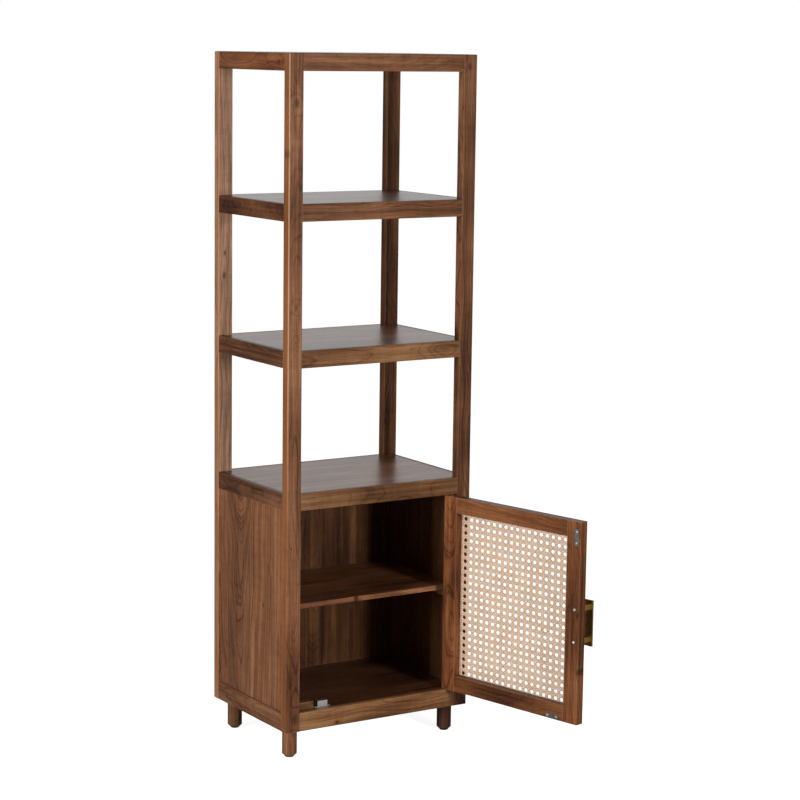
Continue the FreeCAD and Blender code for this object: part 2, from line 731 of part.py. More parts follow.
def handle_screw(level):
    """Pan-headed screw through the stile from the inner face."""
    x = DOOR_LEFT + HANDLE_FROM_EDGE
    head = rod(HANDLE_SCREW_HEAD, Vector(x, DOOR_INNER, level),
               HANDLE_SCREW_HEAD_HIGH, BACK)
    rim = [edge for edge in head.Edges
           if near(edge.CenterOfMass.y, DOOR_INNER + HANDLE_SCREW_HEAD_HIGH)]
    head = head.makeChamfer(HANDLE_SCREW_CHAMFER, rim)
    shank = rod(HANDLE_SCREW_DIAMETER, Vector(x, DOOR_INNER, level),
                DOOR_THICK + HANDLE_SCREW_GRIP, -BACK)
    return head.fuse(shank)


def make_handle():
    """Handle and its two screws, swung with the door."""
    keep("door_handle", swing(handle_body()))
    keep("door_handle_screws", *[swing(handle_screw(z)) for z in handle_screw_places()])


# Small countersunk screws

def small_screw(face, into, grow):
    """Screw from the outer face of a thin plate, grown to cut its hole."""
    head = Part.makeCone(SMALL_SCREW_HEAD / 2 + grow, SMALL_SCREW_DIAMETER / 2 + grow,
                         PLATE_THICK, face, into)
    shank = rod(SMALL_SCREW_DIAMETER + 2 * grow, face + into * PLATE_THICK,
                SMALL_SCREW_LONG - PLATE_THICK + grow, into)
    return head.fuse(shank)


# Strike plates, drawn on the closed door

def strike_screws(grow):
    """Four screws, two in a line through each strike plate."""
    face = BACK * PLATE_THICK
    along = STRIKE_SCREW_CENTRES / 2
    places = [UPPER_STRIKE + face + UP * along, UPPER_STRIKE + face - UP * along,
              LOWER_STRIKE + face + RIGHT * along, LOWER_STRIKE + face - RIGHT * along]
    return [small_screw(place, -BACK, grow) for place in places]


def strike_plate(middle, wide, high):
    """Thin steel plate on the door's inner face."""
    return block(middle.x - wide / 2, middle.x + wide / 2,
                 DOOR_INNER, DOOR_INNER + PLATE_THICK,
                 middle.z - high / 2, middle.z + high / 2)


def make_strikes():
    """The upper plate stands upright and the lower one lies level."""
    holes = strike_screws(SMALL_SCREW_FIT)
    upper = strike_plate(UPPER_STRIKE, STRIKE_WIDE, STRIKE_LONG).cut(holes)
    lower = strike_plate(LOWER_STRIKE, STRIKE_LONG, STRIKE_WIDE).cut(holes)
    keep("door_strike_plates", swing(upper), swing(lower))
    keep("door_strike_screws", *[swing(screw) for screw in strike_screws(0)])


# Magnetic catches, drawn flat with the mouth on the plane y = 0

def catch_screws(grow):
    """Two screws, one through each ear of the base plate."""
    x = (CATCH_CASE_LONG + CATCH_PLATE_LONG) / 4
    places = [Vector(side * x, CATCH_DEEP / 2, PLATE_THICK) for side in (-1, 1)]
    return [small_screw(place, -UP, grow) for place in places]


def catch_plate():
    """Base plate with an ear at each end of the case."""
    half = CATCH_PLATE_LONG / 2
    plate = block(-half, half, 0, CATCH_DEEP, 0, PLATE_THICK)
    return plate.cut(catch_screws(SMALL_SCREW_FIT))


def catch_case():
    """Case round the magnet, rounded along its top edges."""
    half = CATCH_CASE_LONG / 2
    case = block(-half, half, 0, CATCH_DEEP, PLATE_THICK, CATCH_HIGH)
    return soften(case, CATCH_CASE_ROUND, BACK, lambda p: near(p.z, CATCH_HIGH))


def on_floor(shape):
    """Set a catch on the cabinet floor, behind the lower strike plate."""
    placed = shape.copy()
    placed.translate(Vector(LOWER_STRIKE.x, CATCH_MOUTH, FLOOR_TOP))
    return placed


def on_block(shape):
    """Set a catch upright on its wooden block, behind the upper strike plate."""
    placed = shape.copy()
    placed.rotate(Vector(0, 0, 0), BACK, 90)
    placed.translate(Vector(CATCH_BLOCK_FACE, CATCH_MOUTH, UPPER_STRIKE.z))
    return placed


def make_catches():
    """A catch on the floor and one on a block in the upper left corner."""
    plate, case, screws = catch_plate(), catch_case(), catch_screws(0)
    keep("catch_plates", on_floor(plate), on_block(plate))
    keep("catch_cases", on_floor(case), on_block(case))
    keep("catch_screws", *[place(screw) for place in (on_floor, on_block)
                           for screw in screws])
    low = UPPER_STRIKE.z - CATCH_PLATE_LONG / 2 - CATCH_BLOCK_MARGIN
    behind_post = FRONT + POST_DEEP
    carrier = block(WALL_INSIDE, CATCH_BLOCK_FACE, behind_post,
                    behind_post + CATCH_BLOCK_DEEP, low, CABINET_CEILING)
    keep("upper_catch_block",
         carrier.cut([on_block(hole) for hole in catch_screws(SMALL_SCREW_FIT)]))


def make_door_stop():
    """Block on the floor that the closed door rests against."""
    front = DOOR_INNER + STOP_GAP
    right = -OPENING_HALF + STOP_LONG
    top = FLOOR_TOP + STOP_HIGH
    stop = block(-OPENING_HALF, right, front, front + STOP_DEEP, FLOOR_TOP, top)
    stop = soften(stop, STOP_ARRIS_ROUND, BACK,
                  lambda p: near(p.x, right) and near(p.z, top))
    keep("door_stop", stop)


# Legs

def make_legs():
    """Round legs under corner blocks, each on a bolt and a plastic glide."""
    x, y = LEFT + LEG_INSET_SIDE, FRONT + LEG_INSET_FRONT
    radius = LEG_DIAMETER / 2
    leg = rod(LEG_DIAMETER, Vector(x, y, GLIDE_HIGH + LEG_CHAMFER), LEG_HIGH - LEG_CHAMFER)
    cone = Part.makeCone(radius - LEG_CHAMFER, radius, LEG_CHAMFER,
                         Vector(x, y, GLIDE_HIGH), UP)
    bolt_hole = LEG_BOLT_DIAMETER + 2 * LEG_BOLT_FIT
    room = LEG_BOLT_IN_LEG + SCREW_END_ROOM
    leg = leg.fuse(cone).cut([
        rod(bolt_hole, Vector(x, y, UNDERSIDE - room), room + OVERRUN),
        rod(GLIDE_PIN_DIAMETER + 2 * PRESSED_FIT, Vector(x, y, GLIDE_HIGH - OVERRUN),
            GLIDE_PIN_LONG + SCREW_END_ROOM + OVERRUN)]).removeSplitter()
    names = ("front_left_leg", "front_right_leg", "rear_left_leg", "rear_right_leg")
    for name, shape in zip(names, four_corners(leg)):
        keep(name, shape)
    glide = rod(GLIDE_DIAMETER, Vector(x, y, 0), GLIDE_HIGH)
    rim = [edge for edge in glide.Edges if near(edge.CenterOfMass.z, 0)]
    glide = glide.makeChamfer(GLIDE_CHAMFER, rim)
    glide = glide.fuse(rod(GLIDE_PIN_DIAMETER, Vector(x, y, GLIDE_HIGH), GLIDE_PIN_LONG))
    keep("leg_glides", *four_corners(glide.removeSplitter()))
    x0, y0 = LEFT + RAIL_THICK, FRONT + POST_DEEP
    corner = block(x0, x + LEG_BLOCK_BEYOND, y0, y + LEG_BLOCK_BEYOND,
                   UNDERSIDE, FLOOR_TOP - SHELF_THICK)
    bolt_end = FLOOR_TOP - SHELF_THICK - LEG_BOLT_COVER
    corner = corner.cut(rod(bolt_hole, Vector(x, y, UNDERSIDE - OVERRUN),
                            bolt_end - UNDERSIDE + SCREW_END_ROOM + OVERRUN))
    keep("leg_blocks", *four_corners(corner))
    bolt = rod(LEG_BOLT_DIAMETER, Vector(x, y, UNDERSIDE - LEG_BOLT_IN_LEG),
               LEG_BOLT_IN_LEG + bolt_end - UNDERSIDE)
    keep("leg_bolts", *four_corners(bolt))


# Whole unit

def write_pieces():
    """Move the origin under the middle of the whole box, and write every node."""
    box = Part.makeCompound(list(PIECES.values())).optimalBoundingBox(False)
    origin = Vector(box.Center.x, box.Center.y, box.ZMin)
    for name, shape in PIECES.items():
        placed = shape.copy()
        placed.translate(-origin)
        placed.exportStep("parts/" + name + ".step")


make_posts()
make_tiers()
make_walls()
make_inner_shelf()
make_door()
make_pivots()
make_handle()
make_strikes()
make_catches()
make_door_stop()
make_legs()
write_pieces()
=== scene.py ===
"""Finishes and woven detail of a tall storage unit in stained acacia with a cane door.

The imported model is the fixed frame. Its wooden pieces, catches, pins and legs keep their solids and get
their finish here. The woven cane and the pull's screws are modelled here, in the places that the frame
gives. Lengths are in metres and angles in radians, unless a name says otherwise. Places on the carcass are
measured from the middle of its four posts on the floor, and places on the door from its pivot, with the
door closed.
"""

import itertools
import json
import logging
import math
from collections.abc import Callable
from dataclasses import dataclass, replace
from enum import Enum
from functools import partial

import bpy
from bpy.types import Material, Node, NodeOutputs, NodeSocket, NodeTree, Object
from mathutils import Matrix, Vector


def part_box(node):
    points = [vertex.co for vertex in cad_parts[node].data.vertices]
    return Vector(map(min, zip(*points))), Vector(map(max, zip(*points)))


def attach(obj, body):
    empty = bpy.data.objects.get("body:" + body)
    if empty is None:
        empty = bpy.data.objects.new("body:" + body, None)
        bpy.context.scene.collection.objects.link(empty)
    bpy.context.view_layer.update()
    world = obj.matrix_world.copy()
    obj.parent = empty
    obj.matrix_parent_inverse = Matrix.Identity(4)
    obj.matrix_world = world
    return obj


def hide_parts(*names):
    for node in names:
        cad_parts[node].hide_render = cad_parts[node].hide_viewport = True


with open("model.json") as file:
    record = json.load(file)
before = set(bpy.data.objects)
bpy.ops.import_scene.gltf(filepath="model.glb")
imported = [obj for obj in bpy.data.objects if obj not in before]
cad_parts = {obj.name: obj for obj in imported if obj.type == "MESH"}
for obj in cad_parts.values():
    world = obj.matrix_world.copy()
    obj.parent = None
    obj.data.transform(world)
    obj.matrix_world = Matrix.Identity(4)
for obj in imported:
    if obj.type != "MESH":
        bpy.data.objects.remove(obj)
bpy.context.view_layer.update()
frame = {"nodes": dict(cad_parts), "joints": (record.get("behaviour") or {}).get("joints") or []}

MM = 0.001
FULL_TURN = 2.0 * math.pi
LOG = logging.getLogger("storage_unit")

# Drops the part of a place that runs along the grain.
NOT_ALONG = (1.0, 1.0, 0.0)

# What adds a node to one tree: add_node with that tree.
Adder = Callable[..., Node]

SUMS = (
    "ADD", "SUBTRACT", "MULTIPLY", "MULTIPLY_ADD", "DIVIDE", "POWER", "ABSOLUTE", "ROUND", "SINE", "COSINE",
    "MINIMUM", "MAXIMUM", "LESS_THAN", "GREATER_THAN",
)
VECTOR_SUMS = ("ADD", "SUBTRACT", "MULTIPLY", "MULTIPLY_ADD", "ABSOLUTE", "DOT_PRODUCT", "LENGTH", "SCALE")

# Kinds of node that the trees share, each by its type and its setting. A range takes a value, the two ends
# that it runs between and the two ends that it is brought to.
Kind = Enum("Kind", {
    **{name: ("ShaderNodeMath", {"operation": name}) for name in SUMS},
    **{"VECTOR_" + name: ("ShaderNodeVectorMath", {"operation": name}) for name in VECTOR_SUMS},
    "SPLIT": ("ShaderNodeSeparateXYZ", {}),
    "JOIN": ("ShaderNodeCombineXYZ", {}),
    "RANGE": ("ShaderNodeMapRange", {}),
    "SMOOTH_RANGE": ("ShaderNodeMapRange", {"interpolation_type": "SMOOTHSTEP"}),
    "SMOOTHER_RANGE": ("ShaderNodeMapRange", {"interpolation_type": "SMOOTHERSTEP"}),
    "NOISE": ("ShaderNodeTexNoise", {}),
    "LINE_NOISE": ("ShaderNodeTexNoise", {"noise_dimensions": "1D"}),
    "CHANCE": ("ShaderNodeTexWhiteNoise", {"noise_dimensions": "1D"}),
    "MIX": ("ShaderNodeMix", {"data_type": "RGBA"}),
    "RAMP": ("ShaderNodeValToRGB", {}),
    "BUMP": ("ShaderNodeBump", {}),
    "SHADER": ("ShaderNodeBsdfPrincipled", {}),
    "GROUP": ("ShaderNodeGroup", {}),
    "COORDINATES": ("ShaderNodeTexCoord", {}),
    "REALIZE": ("GeometryNodeRealizeInstances", {}),
})


def linear(colour: str) -> tuple[float, float, float, float]:
    """Turn an sRGB hex colour to the linear colour that shaders take.

    Args:
        colour: Six hex digits after a hash.

    Returns:
        Red, green and blue in linear light, and an alpha of one.
    """
    channels = [int(colour[i : i + 2], 16) / 255.0 for i in (1, 3, 5)]
    return tuple(c / 12.92 if c <= 0.04045 else ((c + 0.055) / 1.055) ** 2.4 for c in channels) + (1.0,)


def add_node(tree: NodeTree, kind: Kind | str, *values, named: dict | None = None, **settings) -> Node:
    """Add a node to a tree with its settings, values and links.

    Args:
        tree: The tree that gets the node.
        kind: The node's kind, or its type.
        *values: A value, a socket or a node for each input in turn. A node stands for its first output.
        named: The same for inputs by their names.
        **settings: Properties of the node.

    Returns:
        The new node.
    """
    node_type, fixed = kind.value if isinstance(kind, Kind) else (kind, {})
    node = tree.nodes.new(node_type)
    for name, setting in {**fixed, **settings}.items():
        setattr(node, name, setting)
    in_use = [socket for socket in node.inputs if socket.enabled]
    pairs = list(zip(in_use, values))
    for name, value in (named or {}).items():
        pairs.append((next(socket for socket in in_use if socket.name == name), value))
    for socket, value in pairs:
        if isinstance(value, Node):
            value = next(output for output in value.outputs if output.enabled)
        if isinstance(value, NodeSocket):
            tree.links.new(value, socket)
        else:
            socket.default_value = value
    return node


def new_group(name: str, kind: str, inputs: dict[str, str],
              outputs: dict[str, str]) -> tuple[NodeTree, Adder, NodeOutputs]:
    """Start a node group with named inputs and outputs.

    Args:
        name: The group's name.
        kind: The tree's type.
        inputs: What each input carries, such as Float.
        outputs: What each output carries.

    Returns:
        The tree, what adds a node to it, and the sockets that give its inputs.
    """
    tree = bpy.data.node_groups.new(name, kind)
    for direction, sockets in (("INPUT", inputs), ("OUTPUT", outputs)):
        for socket, carried in sockets.items():
            tree.interface.new_socket(socket, in_out=direction, socket_type="NodeSocket" + carried)
    add = partial(add_node, tree)
    return tree, add, add("NodeGroupInput").outputs


def new_material(name: str, fill: Callable[[Adder], Node]) -> Material:
    """Make a material.

    Args:
        name: The material's name.
        fill: Adds the nodes of its surface and returns the shader.

    Returns:
        The material.
    """
    material = bpy.data.materials.new(name)
    material.use_nodes = True
    material.node_tree.nodes.clear()
    add = partial(add_node, material.node_tree)
    add("ShaderNodeOutputMaterial", fill(add))
    return material


def dress(node: str, material: Material) -> None:
    """Give a solid of the frame its finish.

    Args:
        node: The solid's name.
        material: The finish.
    """
    for slot in frame["nodes"][node].material_slots:
        slot.material = material


@dataclass(frozen=True)
class Datum:
    """A place and a turn that patterns and pieces are measured from.

    Attributes:
        origin: The datum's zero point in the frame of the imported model.
        turn: Its turn about the upright axis.
    """

    origin: Vector
    turn: float = 0.0

    def matrix(self) -> Matrix:
        """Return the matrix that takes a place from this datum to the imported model's frame."""
        return Matrix.Translation(self.origin) @ Matrix.Rotation(self.turn, 4, "Z")


def carcass_datum() -> Datum:
    """Return the datum on the floor, in the middle of the four posts."""
    low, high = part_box("front_left_post")[0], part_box("rear_right_post")[1]
    return Datum(Vector(((low.x + high.x) / 2, (low.y + high.y) / 2, 0.0)))


def door_datum() -> Datum:
    """Return the datum at the door's pivot on the floor, turned as far as the door stands open."""
    hinge = frame["joints"][0]
    return Datum(Vector((hinge["pos_m"][0], hinge["pos_m"][1], 0.0)), -math.radians(hinge["range_deg"][0]))


CARCASS = carcass_datum()
DOOR = door_datum()


class Cut(Enum):
    """Which axes of the datum run across, through and along a board."""

    UPRIGHT_ACROSS_X = "XYZ"
    UPRIGHT_ACROSS_Y = "YXZ"
    LEVEL_RAIL = "ZYX"
    SIDE_RAIL = "ZXY"
    SHELF_BOARDS = "YZX"


class Tone(Enum):
    """Dark, middle and light colours of the stained wood."""

    HONEY = ("#55341d", "#8c5f3c", "#b08458")
    CHESTNUT = ("#472a19", "#7a4e32", "#9d6e4d")
    UMBER = ("#382012", "#674024", "#8a5d3a")
    RUSSET = ("#361a0d", "#6e4023", "#905c38")
    FADED = ("#5b4232", "#8b6851", "#a9866d")


# The redder brown that one side of a board is mixed towards.
REDDER_SIDE = "#7d4a23"
# The colour of the paler edges: stain sanded through, and a painted highlight on the rounded arrises.
SANDED_EDGE_AND_HIGHLIGHT = "#b08a6c"
KNOT_HEART = "#241309"

# Sizes of the patterns in the wood, in millimetres across, through and along the grain, and their detail.
# Real pores and fibres are 0.1 to 0.3 mm wide, and are drawn coarser so that they show.
PATTERNS = {
    "Swirl": ((38.46, 38.46, 125.0), 2.0),
    "Streak": ((8.333, 8.333, 454.5), 2.0),
    "Fibre": ((2.381, 2.381, 111.1), 2.0),
    "Mottle": ((76.92, 76.92, 250.0), 2.0),
    "Ripple": ((45.45, 45.45, 12.5), 1.0),
    "Pore": ((1.923, 1.923, 31.25), 0.0),
}

# How far chance moves a board in its log, the log's heart and its swirls, across, through and along.
BOARD_SHIFT = (0.05, 0.03, 2.0)
HEART_WANDER = (0.05, 0.05, 0.0)
SWIRL_REACH = (0.010, 0.010, 0.0)
WANDER_LENGTH = 384.6 * MM


@dataclass(frozen=True)
class Knot:
    """A knot in a board, in the board's own directions.

    Attributes:
        across: Its place across the board.
        along: Its place along the grain.
        size: Its radius.
        depth: How dark its heart is, from 0 to 1.
    """

    across: float
    along: float
    size: float
    depth: float = 0.8


def figure_group() -> NodeTree:
    """Build the shared group that finds the figure of a board from its place in the log.

    Growth rings are shells round a heart that wanders and leans along the log. A board cuts them, so a
    leaning heart leaves nested arches on its face, and an upright one leaves long streaks.

    Returns:
        The shader node group.
    """
    marks = ("Ring", "Line", "Streak", "Fibre", "Mottle", "Ripple", "Pore", "Board Tone")
    tree, add, given = new_group("Acacia figure", "ShaderNodeTree", {
        "Place": "Vector", "Board": "Float", "Heart": "Vector", "Lean": "Float", "Ring Width": "Float",
        "Push": "Float",
    }, dict.fromkeys(marks, "Float"))

    def spread(colour: NodeSocket, reach: tuple[float, ...]) -> Node:
        """Add the node that spreads a random colour about zero, over its reach."""
        return add(Kind.VECTOR_MULTIPLY_ADD, colour, reach, tuple(-0.5 * r for r in reach))

    chance = add(Kind.CHANCE, given["Board"]).outputs["Color"]
    place = add(Kind.VECTOR_ADD, given["Place"], spread(chance, BOARD_SHIFT))
    noises = {}
    for name, (size, detail) in PATTERNS.items():
        stretched = add(Kind.VECTOR_MULTIPLY, place, tuple(1.0 / (s * MM) for s in size))
        noises[name] = add(Kind.NOISE, stretched, 1.0, detail)

    along = add(Kind.SPLIT, place).outputs["Z"]
    leaning = add(Kind.JOIN, 0.0, add(Kind.MULTIPLY, along, given["Lean"]))
    wander = add(Kind.LINE_NOISE, along, 1.0 / WANDER_LENGTH, 1.0)
    offset = add(Kind.VECTOR_SUBTRACT, place, given["Heart"])
    for part in (leaning, spread(wander.outputs["Color"], HEART_WANDER),
                 spread(noises["Swirl"].outputs["Color"], SWIRL_REACH)):
        offset = add(Kind.VECTOR_ADD, offset, part)
    radius = add(Kind.VECTOR_LENGTH, add(Kind.VECTOR_MULTIPLY, offset, NOT_ALONG))
    pushed = add(Kind.ADD, radius, given["Push"])
    count = add(Kind.DIVIDE, pushed, given["Ring Width"])
    ring = add(Kind.LINE_NOISE, count, 1.0, 3.0, 0.55)
    contour = add(Kind.LINE_NOISE, count, 1.7, 0.0)
    off_line = add(Kind.ABSOLUTE, add(Kind.SUBTRACT, contour, 0.5))
    line = add(Kind.SMOOTH_RANGE, off_line, 0.0, 0.055, 1.0, 0.0)
    pore = add(Kind.RANGE, noises["Pore"], 0.64, 0.74)
    found = {**noises, "Ring": ring, "Line": line, "Pore": pore, "Board Tone": add(Kind.SPLIT, chance)}
    add("NodeGroupOutput", *(found[mark] for mark in marks))
    return tree


def knot_group() -> NodeTree:
    """Build the shared group of a knot, which pushes the rings aside and darkens its heart.

    Returns:
        The shader node group.
    """
    tree, add, given = new_group("Knot", "ShaderNodeTree", {
        "Place": "Vector", "Centre": "Vector", "Size": "Float", "Depth": "Float",
    }, {"Push": "Float", "Dark": "Float"})
    offset = add(Kind.VECTOR_SUBTRACT, given["Place"], given["Centre"])
    squeezed = add(Kind.VECTOR_MULTIPLY, offset, (1.0, 0.0, 0.55))
    sizes = add(Kind.DIVIDE, add(Kind.VECTOR_LENGTH, squeezed), given["Size"])
    near = add(Kind.SMOOTHER_RANGE, sizes, 0.0, 3.5, 1.0, 0.0)
    core = add(Kind.SMOOTH_RANGE, sizes, 0.25, 1.3, 1.0, 0.0)
    push = add(Kind.MULTIPLY, near, add(Kind.MULTIPLY, given["Size"], 1.3))
    add("NodeGroupOutput", push, add(Kind.MULTIPLY, core, given["Depth"]))
    return tree


FIGURE = figure_group()
KNOT = knot_group()


def edge_mask(add: Adder, radius: float, strength: float) -> Node:
    """Add the nodes that find a piece's edges, where a paler colour goes.

    Args:
        add: Adds a node to the material's tree.
        radius: How far from an edge the mask reaches.
        strength: Its value on an edge. It is 0 on a flat face.

    Returns:
        The node that gives the mask.
    """
    rounded = add("ShaderNodeBevel", radius, samples=6)
    true_normal = add("ShaderNodeNewGeometry").outputs["True Normal"]
    agreement = add(Kind.VECTOR_DOT_PRODUCT, rounded, true_normal)
    return add(Kind.RANGE, agreement, 0.999, 0.86, 0.0, strength)


@dataclass(frozen=True)
class StainedAcacia:
    """Solid acacia, planed and sanded, stained to walnut and sprayed with satin lacquer.

    The planed boards give long streaks and nested arches of dark and light brown, the stain gathers in
    the pores as short dark dashes, the edges are paler as sanded stain and as a painted highlight, and the
    lacquer gives a soft sheen.

    Attributes:
        tone: The board's colours.
        cut: Which way its grain runs.
        datum: What its places are measured from.
        heart: Where the log's heart lies across the board and through it.
        lean: How much the heart leans through the board for each metre along it.
        seed: The log that the board is from.
        ring_width: How far apart the log's growth rings lie.
        seams: Where one board is glued to the next, across them.
        knots: Its knots.
        redder_side: Where the board starts to be coloured redder, across it, and where that is at its
            fullest.
        worn_and_highlit_corner: A corner made paler, as sanded stain and as a painted highlight on its
        rounding, by its place across the board, through it and how far down it goes.
        figured: How strongly the growth rings show.
        contrast: How strongly patches and streaks show.
        boldness: How much the boards of a panel differ in tone. Below 0, its lighter boards are the darker.
        light: A factor on the whole piece's colour.
        gloss: How strongly its lacquer shines.
        satin: The roughness of the lacquer's smoothest and dullest spots.
    """

    tone: Tone = Tone.CHESTNUT
    cut: Cut = Cut.UPRIGHT_ACROSS_X
    datum: Datum = CARCASS
    heart: tuple[float, float] = (0.03, 0.06)
    lean: float = 0.05
    seed: float = 1.0
    ring_width: float = 0.011
    seams: tuple[float, ...] = ()
    knots: tuple[Knot, ...] = ()
    redder_side: tuple[float, float] | None = None
    worn_and_highlit_corner: tuple[float, float, float] | None = None
    figured: float = 0.5
    contrast: float = 1.0
    boldness: float = 0.4
    light: float = 1.0
    gloss: float = 0.14
    satin: tuple[float, float] = (0.32, 0.5)

    def stain(self, node: str) -> None:
        """Give a wooden solid of the frame this finish."""
        dress(node, new_material("Stained acacia, " + node.replace("_", " "), self.shader))

    def shader(self, add: Adder) -> Node:
        """Add the nodes of the wood.

        Args:
            add: Adds a node to the material's tree.

        Returns:
            The shader.
        """
        mapped = add("ShaderNodeMapping", named={
            "Vector": add(Kind.COORDINATES).outputs["Object"], "Location": self.datum.origin,
            "Rotation": (0.0, 0.0, self.datum.turn),
        }, vector_type="TEXTURE")
        axes = add(Kind.SPLIT, mapped).outputs
        across, through, along = (axes[letter] for letter in self.cut.value)
        place = add(Kind.JOIN, across, through, along)
        push, dark = 0.0, []
        for knot in self.knots:
            centre = (knot.across, 0.0, knot.along)
            sockets = add(Kind.GROUP, place, centre, knot.size, knot.depth, node_tree=KNOT).outputs
            push = add(Kind.ADD, sockets["Push"], push)
            dark.append(sockets["Dark"])
        number, glue = self.boards(add, across)
        marks = add(Kind.GROUP, place, number, (*self.heart, 0.0), self.lean, self.ring_width, push,
                    node_tree=FIGURE).outputs
        colour = self.sanded(add, place, self.stained(add, across, marks, glue))
        for socket in dark:
            colour = add(Kind.MIX, socket, colour, linear(KNOT_HEART))
        relief = add(Kind.MULTIPLY_ADD, marks["Pore"], -0.6, marks["Fibre"])
        return add(Kind.SHADER, named={
            "Base Color": colour,
            "Roughness": add(Kind.RANGE, marks["Fibre"], 0.0, 1.0, *self.satin),
            "Specular IOR Level": self.gloss,
            "Normal": add(Kind.BUMP, 0.25, 0.25 * MM, named={"Height": relief}),
        })

    def boards(self, add: Adder, across: NodeSocket) -> tuple[Node | float, Node | float]:
        """Add the nodes that number the boards of a panel and darken the lines where they are glued.

        Args:
            add: Adds a node to the material's tree.
            across: The place across the boards.

        Returns:
            The board's number, and a factor for the colour. Both are plain numbers on a piece of one board.
        """
        if not self.seams:
            return self.seed, 1.0
        room, dark, count = 50.0 * MM, 0.45, float(len(self.seams))
        low, high = min(self.seams) - room, max(self.seams) + room
        profile = ((-1.4 * MM, 1.0), (-0.7 * MM, dark), (0.7 * MM, dark), (1.4 * MM, 1.0))
        shares = [(seam, i / count) for i, seam in enumerate(sorted(self.seams), start=1)]
        glued = [(seam + offset, level) for seam in self.seams for offset, level in profile]
        ramps = []
        for first, stops, interpolation in ((0.0, shares, "CONSTANT"), (1.0, glued, "LINEAR")):
            ramps.append(add(Kind.RAMP, add(Kind.RANGE, across, low, high)))
            ramps[-1].color_ramp.interpolation = interpolation
            elements = ramps[-1].color_ramp.elements
            elements.remove(elements[1])
            elements[0].color = (first, first, first, 1.0)
            for seam, level in stops:
                elements.new((seam - low) / (high - low)).color = (level, level, level, 1.0)
        return add(Kind.ROUND, add(Kind.MULTIPLY_ADD, ramps[0], count, self.seed * 10.0)), ramps[1]

    def stained(self, add: Adder, across: NodeSocket, marks: NodeOutputs, glue: Node | float) -> Node:
        """Add the nodes that stain the figure.

        Args:
            add: Adds a node to the material's tree.
            across: The place across the board.
            marks: The figure's marks.
            glue: The factor of the glue lines.

        Returns:
            The node that gives the colour.
        """
        weights = {"Ring": 0.8 * self.figured, "Mottle": 1.25 * self.contrast, "Streak": 0.8 * self.contrast}
        level: Node | float = 0.5 - 0.5 * sum(weights.values())
        for mark, weight in {**weights, "Line": -0.5 * self.figured}.items():
            level = add(Kind.MULTIPLY_ADD, marks[mark], weight, level)
        ramp = add(Kind.RAMP, level)
        stops = ramp.color_ramp.elements
        deep, middle, pale = (linear(colour) for colour in self.tone.value)
        stops[0].position, stops[0].color = 0.15, deep
        stops[1].position, stops[1].color = 0.85, pale
        stops.new(0.5).color = middle

        fibres = add(Kind.RANGE, marks["Fibre"], 0.3, 0.7, 0.8, 1.2)
        ripples = add(Kind.RANGE, marks["Ripple"], 0.3, 0.7, 0.93, 1.07)
        pores = add(Kind.RANGE, marks["Pore"], 0.0, 1.0, 1.0, 0.72)
        half = 0.5 * self.boldness if self.seams else 0.0
        board = add(Kind.RANGE, marks["Board Tone"], 0.0, 1.0, 1.0 - half, 1.0 + half)
        tone: Node | float = self.light
        for factor in (fibres, ripples, pores, board, glue):
            tone = add(Kind.MULTIPLY, tone, factor)
        colour = add(Kind.VECTOR_SCALE, ramp, tone)
        # Past the given place across the board, the colour is mixed towards a redder brown; on the left posts
        # this colours their left face.
        if self.redder_side:
            heart = add(Kind.RANGE, across, *self.redder_side, 0.0, 0.6)
            redder = add(Kind.VECTOR_SCALE, linear(REDDER_SIDE)[:3], fibres)
            colour = add(Kind.MIX, heart, colour, redder)
        return colour

    def sanded(self, add: Adder, place: Node, colour: Node) -> Node:
        """Add the nodes that make the edges paler, as sanded stain and as a painted highlight.

        Args:
            add: Adds a node to the material's tree.
            place: The place across, through and along the board.
            colour: The stained colour.

        Returns:
            The node that gives the colour with its edges.
        """
        # Edges are made paler: partly sanded stain, partly a painted highlight on the rounded arrises.
        edge = edge_mask(add, radius=2.5 * MM, strength=0.4)
        # A painted highlight line, with the stain sanded paler, along the worn corner; it fades out towards
        # the bottom.
        if self.worn_and_highlit_corner:
            offset = add(Kind.VECTOR_SUBTRACT, place, self.worn_and_highlit_corner)
            reach = add(Kind.VECTOR_LENGTH, add(Kind.VECTOR_MULTIPLY, offset, NOT_ALONG))
            near = add(Kind.RANGE, reach, 1.4 * MM, 3.0 * MM, 0.75, 0.0)
            fading = add(Kind.RANGE, add(Kind.SPLIT, offset).outputs["Z"], 0.0, 0.3)
            edge = add(Kind.MAXIMUM, edge, add(Kind.MULTIPLY, near, fading))
        pale = add(Kind.VECTOR_SCALE, linear(SANDED_EDGE_AND_HIGHLIGHT)[:3], min(1.0, self.light))
        return add(Kind.MIX, edge, colour, pale)


